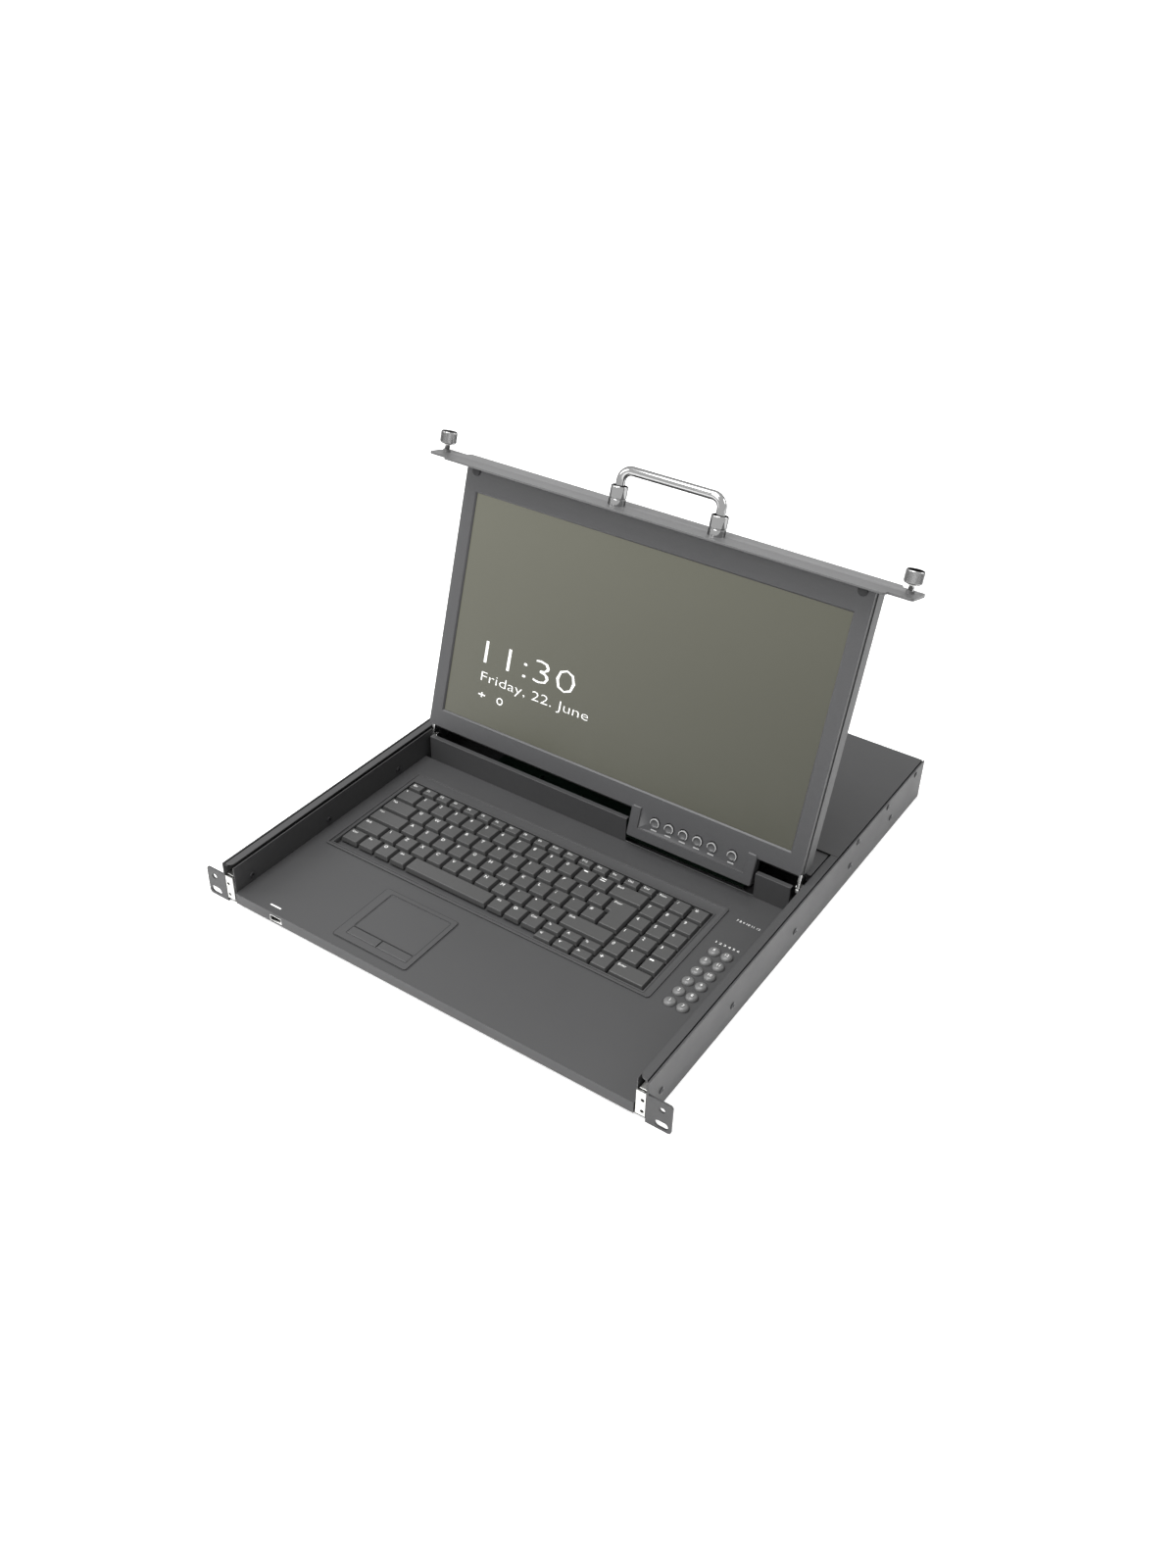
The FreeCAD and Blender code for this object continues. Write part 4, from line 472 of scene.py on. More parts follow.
# Grey for the printed bars, and for the painted highlights on the caps below the screen.
GREY_PRINT_AND_HIGHLIGHT = finish("grey_print_and_highlight", (0.4, 0.4, 0.4), 0.4, drift=0.05)
GOLD = finish("contact_gold", (0.8, 0.6, 0.27), 0.25, 1.0)
GLOW = finish("screen_white", (0.8, 0.8, 0.78), 0.4, drift=0.0)
shader_of(GLOW).inputs["Emission Color"].default_value = (1, 1, 0.97, 1)
shader_of(GLOW).inputs["Emission Strength"].default_value = 0.4
print("print, contacts and lettering:", ", ".join(m.name for m in (WHITE_PRINT, GREY_PRINT_AND_HIGHLIGHT, GOLD, GLOW)))

# %% [markdown]
# ## Screen and circuit boards
# The screen is lit from behind, so most of its brightness is its own. Its gradient could be an image, but
# a ramp on Object coordinates needs no file and stays sharp at any size. It runs from a warm grey at the
# upper left to a darker olive at the lower right, and a clear coat gives the glass its sheen.

# %% Screen
SCREEN_DARK = (0.052, 0.052, 0.03, 1)
SCREEN_LIGHT = (0.175, 0.175, 0.13, 1)
LIGHT_AT_BOTTOM = 0.45
GAIN_UPWARDS = 0.6
LOSS_TO_RIGHT = -0.55
SCREEN_SHEEN = {"Emission Strength": 0.85, "Base Color": (0.02, 0.02, 0.019, 1), "Specular IOR Level": 0.3,
                "Coat Weight": 0.08, "Coat Roughness": 0.12}


def screen_finish():
    """A dark coated surface that glows with a slanting gradient."""
    material = bpy.data.materials.new("screen")
    material.use_nodes = True
    tree = material.node_tree
    inputs = shader_of(material).inputs
    low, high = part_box("lcd_panel")
    size = high - low
    across = tree.nodes.new("ShaderNodeMapping")
    across.inputs["Location"].default_value = (0.5 - middle((low, high)).x / size.x, 0, -low.z / size.z)
    across.inputs["Scale"].default_value = (1 / size.x, 0, 1 / size.z)
    parts = tree.nodes.new("ShaderNodeSeparateXYZ")
    ramp = tree.nodes.new("ShaderNodeValToRGB")
    ramp.color_ramp.elements[0].color = SCREEN_DARK
    ramp.color_ramp.elements[1].color = SCREEN_LIGHT
    tree.links.new(tree.nodes.new("ShaderNodeTexCoord").outputs["Object"], across.inputs["Vector"])
    tree.links.new(across.outputs["Vector"], parts.inputs["Vector"])
    rise = arithmetic(tree, "MULTIPLY_ADD", parts.outputs["Z"], GAIN_UPWARDS, LIGHT_AT_BOTTOM)
    blend = arithmetic(tree, "MULTIPLY_ADD", parts.outputs["X"], LOSS_TO_RIGHT, rise)
    tree.links.new(blend, ramp.inputs["Fac"])
    tree.links.new(ramp.outputs["Color"], inputs["Emission Color"])
    for label, value in SCREEN_SHEEN.items():
        inputs[label].default_value = value
    use_group(material, HANDLING, {"Roughness": 0.3, "Spread": 0.08}, "Roughness", inputs["Roughness"])
    return material


FINISH["screen"] = screen_finish()

# %% [markdown]
# The circuit boards lie inside and show only through gaps. They are a very dark green solder mask with
# lighter tracks. A brick pattern draws the tracks, which saves modelling lines that nobody can follow.

# %% Circuit boards
BOARD_GREEN = (0.001, 0.005, 0.0025)
TRACKS = {"Color1": (*BOARD_GREEN, 1), "Color2": (0.0015, 0.007, 0.0035, 1),
          "Mortar": (0.004, 0.016, 0.008, 1), "Scale": 130, "Mortar Size": 0.04}


def board_finish():
    """The common finish with a brick pattern as its colour."""
    material = finish("circuit_board", BOARD_GREEN, 0.5)
    tree = material.node_tree
    tracks = tree.nodes.new("ShaderNodeTexBrick")
    for label, value in TRACKS.items():
        tracks.inputs[label].default_value = value
    tree.links.new(tree.nodes.new("ShaderNodeTexCoord").outputs["Object"], tracks.inputs["Vector"])
    tree.links.new(tracks.outputs["Color"], shader_of(material).inputs["Base Color"])
    return material


FINISH["circuit_board"] = board_finish()
print(len(FINISH), "finishes for the record's slots")

# %% [markdown]
# ## Every solid gets its finish
# Finishes could be set solid by solid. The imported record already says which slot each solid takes, so the
# finish is looked up there and none is forgotten.

# %% Finishes on the solids
SLOT_OF = {part["node"]: part["material_slot"] for part in frame["record"]["subparts"]}
for name, node in NODES.items():
    node.data.materials.clear()
    node.data.materials.append(FINISH[SLOT_OF[name]])
print(f"{len(SLOT_OF)} solids painted")


def stand_in(name, mesh, node):
    """Shows a mesh in place of a solid, with that solid's finish and on its body."""
    slot = SLOT_OF[node]
    return shown(name, mesh, FINISH[slot], body_of(node), [node])


# %% [markdown]
# ## Rounded edges
# Bent sheet has a small outside radius and moulded plastic is never knife-sharp: the thin bright line
# along an edge is what makes metal look like metal. A bump could fake it, but the exported mesh would stay
# sharp. So a copy of the solid has its corners joined, its flat faces made whole, and a Bevel modifier on
# its edges. The copy then stands for the solid.

# %% Softened copies of solids
FLAT_WITHIN = 0.5                  # degrees between faces that are one flat face
BEVEL_ABOVE = 30                   # degrees between faces whose edge is rounded


def softened(node, radius, segments=2):
    """A copy of a solid with rounded edges, which replaces it. Radius in millimetres."""
    work = merged(NODES[node].data)
    bmesh.ops.dissolve_limit(work, angle_limit=math.radians(FLAT_WITHIN), verts=work.verts, edges=work.edges)
    rough = placed(node + "_rough", finished_mesh(work, node))
    bevel = rough.modifiers.new("edges", "BEVEL")
    bevel.width = radius * MM
    bevel.segments = segments
    bevel.limit_method = "ANGLE"
    bevel.angle_limit = math.radians(BEVEL_ABOVE)
    bevel.harden_normals = True
    return stand_in(node + "_soft", plain_mesh(rough), node)


SHEET_EDGES = {"rail_right": 0.5, "rail_left": 0.5, "chassis_pan": 0.4, "rear_cover": 0.4, "rear_panel": 0.3,
               "drawer_tray": 0.4, "deck_panel": 0.5, "hinge_wall": 0.4, "rear_deck": 0.4,
               "slide_outer_members": 0.4, "slide_mid_members": 0.3, "slide_inner_members": 0.4,
               "lid_back_cover": 0.6, "lid_arms": 0.3, "front_bar": 0.5, "hinge_pins": 0.2}
MOULDED_EDGES = {"lid_bezel": 0.5, "lcd_panel": 0.2, "keyboard_base": 0.4, "touchpad": 0.4,
                 "touch_button_left": 0.3, "touch_button_right": 0.3, "rear_sockets": 0.2,
                 "power_inlet": 0.3, "switch_housing": 0.3, "power_rocker": 0.4, "front_usb_socket": 0.15}
for node, radius in {**SHEET_EDGES, **MOULDED_EDGES}.items():
    softened(node, radius)
print(len(SHEET_EDGES), "sheet pieces and", len(MOULDED_EDGES), "moulded pieces softened")

# %% [markdown]
# ## Keys and their legends
# The caps are flat with softly rounded edges. An image could carry the legends, but text made into a thin
# flat mesh stays sharp close up and needs no file. Each legend lies near the back left corner of its cap,
# as on most compact keyboards. All legends of a group ride on that group's body, so they go down with the
# keys.

# %% Lettering
def letter_mesh(text, height, width=None, thinner=0.0):
    """Flat text with its lower left corner at the origin. Height and width in millimetres."""
    curve = bpy.data.curves.new("lettering", "FONT")
    curve.body = text
    curve.resolution_u = 2
    curve.offset = -thinner
    mesh = plain_mesh(placed("lettering", curve))
    low, high = box_of([v.co for v in mesh.vertices])
    tall = height * MM / (high.y - low.y)
    wide = width * MM / (high.x - low.x) if width else tall
    mesh.transform(Matrix.Diagonal((wide, tall, 1, 1)) @ Matrix.Translation(-low))
    return mesh


def printed(name, body, items, material=WHITE_PRINT):
    """One flat mesh from several (mesh, matrix) pairs, which rides on a body."""
    work = bmesh.new()
    for mesh, place in items:
        copy = mesh.copy()
        copy.transform(place)
        work.from_mesh(copy)
        bpy.data.meshes.remove(copy)
    return shown(name, finished_mesh(work, name), material, body)


print("a sample letter has", len(letter_mesh("R", 1).polygons), "faces")

# %% [markdown]
# The lists below run from left to right in each row. Words, and all legends on shallow keys, are smaller
# than single letters, and small signs such as a full stop are smaller still.

# %% Key caps and legends
LEGENDS = {
    "function_keys": ["Esc"] + [f"F{i}" for i in range(1, 13)] + ["Prt", "Ins", "Del", "End"],
    "number_row_keys": list("`1234567890-=") + ["Back"],
    "upper_letter_keys": ["Tab"] + list("QWERTYUIOP[]"),
    "middle_letter_keys": ["Caps"] + list("ASDFGHJKL;'#"),
    "lower_letter_keys": ["Shift"] + list("\\ZXCVBNM,./") + ["Shift"],
    "modifier_keys": ["Ctrl", "Fn", "o", "Alt", "Alt", "o", "Ctrl"],
    "enter_key": ["Enter"],
    "arrow_keys": ["Pg", "^", "Pg", "<", "v", ">"],
    "numpad_keys": ["Num"] + list("/*7894561230.-+") + ["Enter"]}
LETTER_HEIGHT = 3.5
WORD_HEIGHT = 2.5
SMALL_SIGNS = "-.,`'"
SMALL_SIGN_SHARE = 0.45
LEGEND_FROM_LEFT = 3.4
LEGEND_FROM_BACK = 3.2
LEGEND_LIFT = 0.06
SHALLOW_KEY = 12
KEY_EDGE = 0.45


def legend_items(node, texts):
    """Text meshes with their places on the caps of one group."""
    items = []
    for (low, high), text in zip(loose_parts(node), texts):
        height = LETTER_HEIGHT if len(text) == 1 else WORD_HEIGHT
        if high.y - low.y < SHALLOW_KEY * MM:
            height = min(height, WORD_HEIGHT)
        height *= SMALL_SIGN_SHARE if text in SMALL_SIGNS else 1
        left = low.x + LEGEND_FROM_LEFT * MM
        front = high.y - LEGEND_FROM_BACK * MM - height * MM
        top = high.z + LEGEND_LIFT * MM
        items.append((letter_mesh(text, height), Matrix.Translation((left, front, top))))
    return items


for node in list(LEGENDS) + ["space_bar"]:
    softened(node, KEY_EDGE, 3)
    if node in LEGENDS:
        printed(node + "_legends", body_of(node), legend_items(node, LEGENDS[node]))
print(sum(len(texts) for texts in LEGENDS.values()), "legends printed")

# %% [markdown]
# ## Repeated pieces with Geometry Nodes
# Screws, buttons, contacts and the ridges of a knob repeat, so each is modelled once and set on points.
# Copying objects would work as well, but a node tree keeps one shape and one list of places. The points
# carry a turn, which says which way the shape faces. The tree takes the shape and the finish as named
# inputs, makes the copies real and paints them, because an exported file keeps no instances.

# %% A tree that sets a shape on points
def points_tree():
    """The tree, and the identifiers of its two inputs."""
    tree = bpy.data.node_groups.new("Shape on points", "GeometryNodeTree")
    tree.interface.new_socket("Points", in_out="INPUT", socket_type="NodeSocketGeometry")
    shape = tree.interface.new_socket("Shape", in_out="INPUT", socket_type="NodeSocketObject")
    paint = tree.interface.new_socket("Finish", in_out="INPUT", socket_type="NodeSocketMaterial")
    tree.interface.new_socket("Result", in_out="OUTPUT", socket_type="NodeSocketGeometry")
    given = tree.nodes.new("NodeGroupInput")
    result = tree.nodes.new("NodeGroupOutput")
    source = tree.nodes.new("GeometryNodeObjectInfo")
    turn = tree.nodes.new("GeometryNodeInputNamedAttribute")
    turn.data_type = "FLOAT_VECTOR"
    turn.inputs["Name"].default_value = "turn"
    copies = tree.nodes.new("GeometryNodeInstanceOnPoints")
    real = tree.nodes.new("GeometryNodeRealizeInstances")
    painted = tree.nodes.new("GeometryNodeSetMaterial")
    tree.links.new(given.outputs["Shape"], source.inputs["Object"])
    tree.links.new(given.outputs["Points"], copies.inputs["Points"])
    tree.links.new(source.outputs["Geometry"], copies.inputs["Instance"])
    tree.links.new(turn.outputs["Attribute"], copies.inputs["Rotation"])
    tree.links.new(copies.outputs["Instances"], real.inputs["Geometry"])
    tree.links.new(real.outputs["Geometry"], painted.inputs["Geometry"])
    tree.links.new(given.outputs["Finish"], painted.inputs["Material"])
    tree.links.new(painted.outputs["Geometry"], result.inputs["Result"])
    return tree, shape.identifier, paint.identifier


POINTS_TREE, SHAPE_INPUT, FINISH_INPUT = points_tree()
print(POINTS_TREE.name, "takes its shape at", SHAPE_INPUT, "and its finish at", FINISH_INPUT)


# %% One mesh from many copies
def repeated(shape, places, material):
    """A mesh with a copy of this shape at each (point, 3 by 3 turn), made by the tree above."""
    model = placed("one_shape", shape)
    points = bpy.data.meshes.new("points")
    points.from_pydata([point for point, _ in places], [], [])
    turns = points.attributes.new("turn", "FLOAT_VECTOR", "POINT")
    turns.data.foreach_set("vector", [angle for _, turn in places for angle in turn.to_euler()])
    carrier = placed("copies", points)
    copies = carrier.modifiers.new("copies", "NODES")
    copies.node_group = POINTS_TREE
    copies[SHAPE_INPUT] = model
    copies[FINISH_INPUT] = material
    mesh = plain_mesh(carrier)
    bpy.data.objects.remove(model)
    return mesh


def facing(direction):
    """A turn that points a shape's z along a direction."""
    return direction.to_track_quat("Z", "Y").to_matrix()


print("a shape turned to face right has its z along", [round(c) for c in facing(X_AXIS).col[2]])

# %% [markdown]
# ## Screw heads
# The cover and the slides are held by low black screws with a cross recess. The recess could be cut with a
# Boolean, which often leaves ragged faces. Here the top face is a ring bridged to the outline of the
# cross, and a tapered wall leads from that outline down to a small floor.

# %% Shape of a screw head
HEAD_SIDES = 24
HEAD_RINGS = [(1, 0), (1, 0.45), (0.86, 0.85), (0.66, 1)]     # shares of the radius and the height
CROSS_ARM = 0.5                                               # shares of the radius
CROSS_HALF_WIDTH = 0.12
CROSS_FLOOR_SIZE = 0.7                                        # share of the cross on top
CROSS_FLOOR_HEIGHT = 0.3                                      # share of the height
QUARTER_TURNS = ((1, 0), (0, 1), (-1, 0), (0, -1))            # cosine and sine


def pan_head(radius, height):
    """A low screw head with a cross recess, its seat at z 0. Sizes in millimetres."""
    work = bmesh.new()
    rings = [circle(work, r * radius, z * height, HEAD_SIDES) for r, z in HEAD_RINGS]
    for lower, upper in zip(rings, rings[1:]):
        band(work, lower, upper)
    work.faces.new(list(reversed(rings[0])))
    arm = CROSS_ARM * radius
    half = CROSS_HALF_WIDTH * radius
    quarter = [(arm, -half), (arm, half), (half, half)]
    outline = [(x * c - y * s, x * s + y * c) for c, s in QUARTER_TURNS for x, y in quarter]
    share = CROSS_FLOOR_SIZE
    rim = [work.verts.new((x * MM, y * MM, height * MM)) for x, y in outline]
    floor = [work.verts.new((share * x * MM, share * y * MM, CROSS_FLOOR_HEIGHT * height * MM))
             for x, y in outline]
    rim_edges = [work.edges.new(pair) for pair in zip(rim, rim[1:] + rim[:1])]
    top_edges = [e for e in work.edges if all(v in rings[-1] for v in e.verts)]
    bmesh.ops.bridge_loops(work, edges=rim_edges + top_edges)
    band(work, rim, floor)
    work.faces.new(floor)
    bmesh.ops.recalc_face_normals(work, faces=work.faces)
    return finished_mesh(work, "pan_head")


print("a screw head has", len(pan_head(1, 1).polygons), "faces")


# %% Screw heads on the walls
def side_screws(node, outward):
    """Recessed heads for the plain ones of a node. They face outward with 1, and inward with -1."""
    boxes = loose_parts(node)
    places = []
    for box in boxes:
        side = math.copysign(1, middle(box).x) * outward
        seat = middle(box)
        seat.x = box[0].x if side > 0 else box[1].x
        places.append((seat, facing(X_AXIS * side)))
    size = boxes[-1][1] - boxes[-1][0]
    heads = repeated(pan_head(size.y / 2 / MM, size.x / MM), places, FINISH[SLOT_OF[node]])
    stand_in(node + "_recessed", heads, node)
    print(f"{node}: {len(places)} heads, {size.y / MM:.1f} mm across")


side_screws("chassis_screws", 1)
side_screws("drawer_screws", -1)

# %% [markdown]
# ## Port buttons
# The port buttons are soft domes in two columns, and each carries its number. A squashed sphere would be
# too round at its foot. The profile here is a straight skirt, then a quarter of an ellipse to a small flat
# top.

# %% Port buttons
NUMBER_HEIGHT = 3.0
DOME_FLAT = 0.35                   # share of the radius
DOME_SHOULDER = 0.45               # share of the height
DOME_STEPS = 8


def dome_profile(radius, height):
    """A dome from its skirt to a flat top, in millimetres."""
    shoulder = DOME_SHOULDER * height
    arc = []
    for i in range(DOME_STEPS + 1):
        angle = math.pi / 2 * i / DOME_STEPS
        arc.append((radius * (DOME_FLAT + (1 - DOME_FLAT) * math.cos(angle)),
                    shoulder + (height - shoulder) * math.sin(angle)))
    return [(radius, 0)] + arc


def port_column(node, first_number):
    """The domes of one column from front to back, with their numbers."""
    boxes = sorted(loose_parts(node), key=lambda b: b[0].y)
    base = boxes[0][0].z
    radius = max(b[1].x - b[0].x for b in boxes) / 2 / MM
    height = (boxes[0][1].z - base) / MM
    places = [(Vector((middle(b).x, middle(b).y, base)), Matrix.Identity(3)) for b in boxes]
    domes = repeated(turned_shape(dome_profile(radius, height)), places, FINISH[SLOT_OF[node]])
    stand_in(node + "_domes", domes, node)
    numbers = []
    for number, b in enumerate(boxes, first_number):
        digits = letter_mesh(str(number), NUMBER_HEIGHT)
        wide = box_of([v.co for v in digits.vertices])[1].x
        place = (middle(b).x - wide / 2, middle(b).y - NUMBER_HEIGHT / 2 * MM, b[1].z + LEGEND_LIFT * MM)
        numbers.append((digits, Matrix.Translation(place)))
    printed(node + "_numbers", body_of(node), numbers)
    return boxes


inner_ports = port_column("port_buttons_inner", 1)
outer_ports = port_column("port_buttons_outer", 7)
print("port buttons:", len(inner_ports) + len(outer_ports))

# %% [markdown]
# ## Buttons below the screen
# They are hard caps with a raised rim and a dished face. A turned profile gives rim and dish in one shape,
# which is then set square to the leaning lid.

# %% Buttons below the screen
CAP_RIM = [(1, 0.5), (0.9, 0), (0.76, 0), (0.62, 0.5), (0.3, 0.7), (0, 0.75)]   # radius share, mm down


def pod_cap(node):
    """A cap that stands for one button. Returns the button's box along the lid's axes."""
    low, high = lid_box(node)
    radius = (high.x - low.x) / 2 / MM
    depth = (high.z - low.z) / MM
    mesh = turned_shape([(radius, 0)] + [(share * radius, depth - sunk) for share, sunk in CAP_RIM])
    seat = middle((low, high))
    seat.z = low.z
    mesh.transform(Matrix.Translation(LID @ seat) @ LID.to_4x4())
    stand_in(node + "_cap", mesh, node)
    return low, high


pod_boxes = [pod_cap(f"pod_button_{i}") for i in range(1, 7)]
pod_radius = (pod_boxes[0][1] - pod_boxes[0][0]).x / 2 / MM
print(f"{len(pod_boxes)} caps below the screen, {2 * pod_radius:.1f} mm across")

# %% [markdown]
# ## Thumbscrews, collars and bumpers
# These are turned pieces too: a profile is carried round the lid's upward axis, or round its outward axis
# for the bumpers. The solids are many-sided there, and a turned shape of the same size takes their place.

# %% Turned pieces on the lid
LID_TURN = {"up": facing(LID_UP), "out": facing(LID_OUT)}
ARC_STEPS = 4


def rounded_end(radius, height, edge):
    """The last points of a profile, with a rounded edge."""
    angles = [math.pi / 2 * i / ARC_STEPS for i in range(ARC_STEPS + 1)]
    arc = [(radius - edge + edge * math.cos(a), height - edge + edge * math.sin(a)) for a in angles]
    return arc + [(0, height)]


def foot_of(box, axis):
    """The middle of the side of a box where an axis of the lid enters it."""
    foot = middle(box)
    if axis == "up":
        foot.y = box[0].y
    else:
        foot.z = box[0].z
    return foot


def turned_piece(name, profile, box, axis, node):
    """A turned shape that fills a box on the lid and stands for a solid."""
    mesh = turned_shape(profile)
    mesh.transform(Matrix.Translation(LID @ foot_of(box, axis)) @ LID_TURN[axis].to_4x4())
    return stand_in(name, mesh, node)


print("a rounded edge takes", ARC_STEPS, "steps")

# %% [markdown]
# The thumbscrew's stud has rings at the pitch of its thread. A real helix would add many thin faces for a
# difference nobody sees. The knob carries straight ridges for the fingers, set round it by the tree that
# places repeated shapes.

# %% Shapes of a thumbscrew
KNOB_LENGTH = 11.0
KNOB_EDGE = 0.8
NECK_RADIUS = 3.6
STUD_RADIUS = 2.5
STUD_TIP = 0.5                     # narrower at its end
THREAD_PITCH = 0.8
THREAD_DEPTH = 0.35
CREST, ROOT = 0.45, 0.95           # places in each pitch
THREAD_FREE = 1                    # plain stud before the groove
GROOVE_DEPTH = 0.6
GROOVE_EDGE = 0.1
GROOVE_PLAY = 0.05
RIDGE_HEIGHT = 0.35
RIDGE_SECTION = [(-0.1, -0.2), (0.22, -0.16), (RIDGE_HEIGHT, 0), (0.22, 0.16), (-0.1, 0.2)]


def thumbscrew_profile(length, groove, shoulder, core):
    """Stud, neck and knob, from the tip up. The groove for the clip ends at the shoulder."""
    knob = length - KNOB_LENGTH
    bottom = STUD_RADIUS - GROOVE_DEPTH
    neck = shoulder + GROOVE_PLAY
    profile = [(STUD_RADIUS - STUD_TIP, 0)]
    for i in range(int((groove - THREAD_FREE) / THREAD_PITCH)):
        profile += [(STUD_RADIUS, (i + CREST) * THREAD_PITCH),
                    (STUD_RADIUS - THREAD_DEPTH, (i + ROOT) * THREAD_PITCH)]
    profile += [(STUD_RADIUS, groove - GROOVE_EDGE), (bottom, groove), (bottom, neck), (NECK_RADIUS, neck),
                (NECK_RADIUS, knob), (core - KNOB_EDGE, knob), (core, knob + KNOB_EDGE)]
    return profile + rounded_end(core, length, KNOB_EDGE)


def ridge_shape(length):
    """A small ridge with a rounded back, along z, with its foot on the y z plane. Length in millimetres."""
    return prism([(x, y, 0) for x, y in RIDGE_SECTION], [(x, y, length) for x, y in RIDGE_SECTION])


print(f"thread rings every {THREAD_PITCH} mm, ridges {RIDGE_HEIGHT} mm high")

# %% Thumbscrews
RIDGES = 54
RIDGE_INSET = 1.4                  # from both ends of the knob


def dressed_thumbscrew(side):
    """A turned thumbscrew with ridges round its knob."""
    node = "thumbscrew_" + side
    low, high = lid_box(node)
    clip_low, clip_high = lid_box("thumbscrew_clip_" + side)
    length = (high.y - low.y) / MM
    outside = (high.x - low.x) / 2 / MM
    core = outside - RIDGE_HEIGHT
    profile = thumbscrew_profile(length, (clip_low.y - low.y) / MM, (clip_high.y - low.y) / MM, core)
    turned_piece(node + "_turned", profile, (low, high), "up", node)
    centre = LID @ (foot_of((low, high), "up") + Y_AXIS * (length - KNOB_LENGTH + RIDGE_INSET) * MM)
    places = []
    for i in range(RIDGES):
        spin = LID_TURN["up"] @ Matrix.Rotation(2 * math.pi * i / RIDGES, 3, "Z")
        places.append((centre + spin @ (X_AXIS * core * MM), spin))
    material = FINISH[SLOT_OF[node]]
    ridges = repeated(ridge_shape(KNOB_LENGTH - 2 * RIDGE_INSET), places, material)
    shown(node + "_ridges", ridges, material, body_of(node))
    print(f"{node}: {length:.1f} mm long, knob {2 * outside:.1f} mm, {RIDGES} ridges")


for side in ("left", "right"):
    dressed_thumbscrew(side)

# %% [markdown]
# A collar stands under each leg of the handle, with a groove round it. Two round rubber bumpers stand on
# the face of the bezel. Both are short enough for a profile of a few points.

# %% Collars and bumpers
COLLAR_GROOVE_AT = 0.35            # share of the height
COLLAR_GROOVE_DEPTH = 0.5
COLLAR_GROOVE_WIDTH = 0.6
COLLAR_EDGE = 1.2
BUMPER_EDGE = 0.6
for number, (low, high) in enumerate(loose_parts("handle_collars", LID), 1):
    radius = (high.x - low.x) / 2 / MM
    length = (high.y - low.y) / MM
    inside = radius - COLLAR_GROOVE_DEPTH
    groove = COLLAR_GROOVE_AT * length
    far_side = groove + COLLAR_GROOVE_WIDTH
    profile = [(radius, 0), (radius, groove - COLLAR_GROOVE_DEPTH), (inside, groove), (inside, far_side),
               (radius, far_side + COLLAR_GROOVE_DEPTH)] + rounded_end(radius, length, COLLAR_EDGE)
    turned_piece(f"handle_collar_{number}", profile, (low, high), "up", "handle_collars")
for number, (low, high) in enumerate(loose_parts("lid_bumpers", LID), 1):
    radius = (high.x - low.x) / 2 / MM
    profile = [(radius, 0)] + rounded_end(radius, (high.z - low.z) / MM, BUMPER_EDGE)
    turned_piece(f"lid_bumper_{number}", profile, (low, high), "out", "lid_bumpers")
print("collars and bumpers turned")

# %% [markdown]
# ## Contacts in the network jacks
# Each jack has eight gold wires under its upper wall, 1.02 mm apart. They could be eight curves, but all
# are alike: one wire is modelled as a thin strip, and the tree sets it in every jack. The blocks of jacks
# are the widest loose parts of the socket solid, and each block has six jacks.

# %% Jack contacts
JACKS_PER_BLOCK = 6
WIDE_BLOCK = 60
WIRE_PITCH = 1.02
WIRES = 8
WIRE_HALF = 0.23
WIRE_SIDE = [(0, 0), (-6, -0.6), (-11, -2.6), (-11, -3.0), (-5.9, -1.0), (0, -0.4)]   # from its rear end
WIRE_FROM_REAR = 1.5
WIRE_FROM_TOP = 3.1

left_side, right_side = ([(x, y, z) for y, z in WIRE_SIDE] for x in (-WIRE_HALF, WIRE_HALF))
contact_wire = prism(left_side, right_side)
jack_blocks = [b for b in loose_parts("rear_sockets") if (b[1] - b[0]).x > WIDE_BLOCK * MM]
wire_places = []
for low, high in jack_blocks:
    pitch = (high.x - low.x) / JACKS_PER_BLOCK
    for jack in range(JACKS_PER_BLOCK):
        for wire in range(WIRES):
            x = low.x + (jack + 0.5) * pitch + (wire - (WIRES - 1) / 2) * WIRE_PITCH * MM
            point = Vector((x, high.y - WIRE_FROM_REAR * MM, high.z - WIRE_FROM_TOP * MM))
            wire_places.append((point, Matrix.Identity(3)))
shown("jack_contacts", repeated(contact_wire, wire_places, GOLD), GOLD, body_of("rear_sockets"))
print(len(jack_blocks), "blocks of jacks,", len(wire_places), "contacts")

# %% [markdown]
# ## Handle
# The grip is a polished rod bent twice. It could be joined from three cylinders and two bent pieces, but a
# curve needs only the centreline with its two arcs, and the curve's own bevel gives the round section
# without seams. It is made a mesh at once, and laid along the lid's axes.

# %% Handle from a bent rod
HANDLE_BEND = 10.0
BEND_STEPS = 8
SECTION_STEPS = 6
ROD_SMOOTH_BELOW = 40


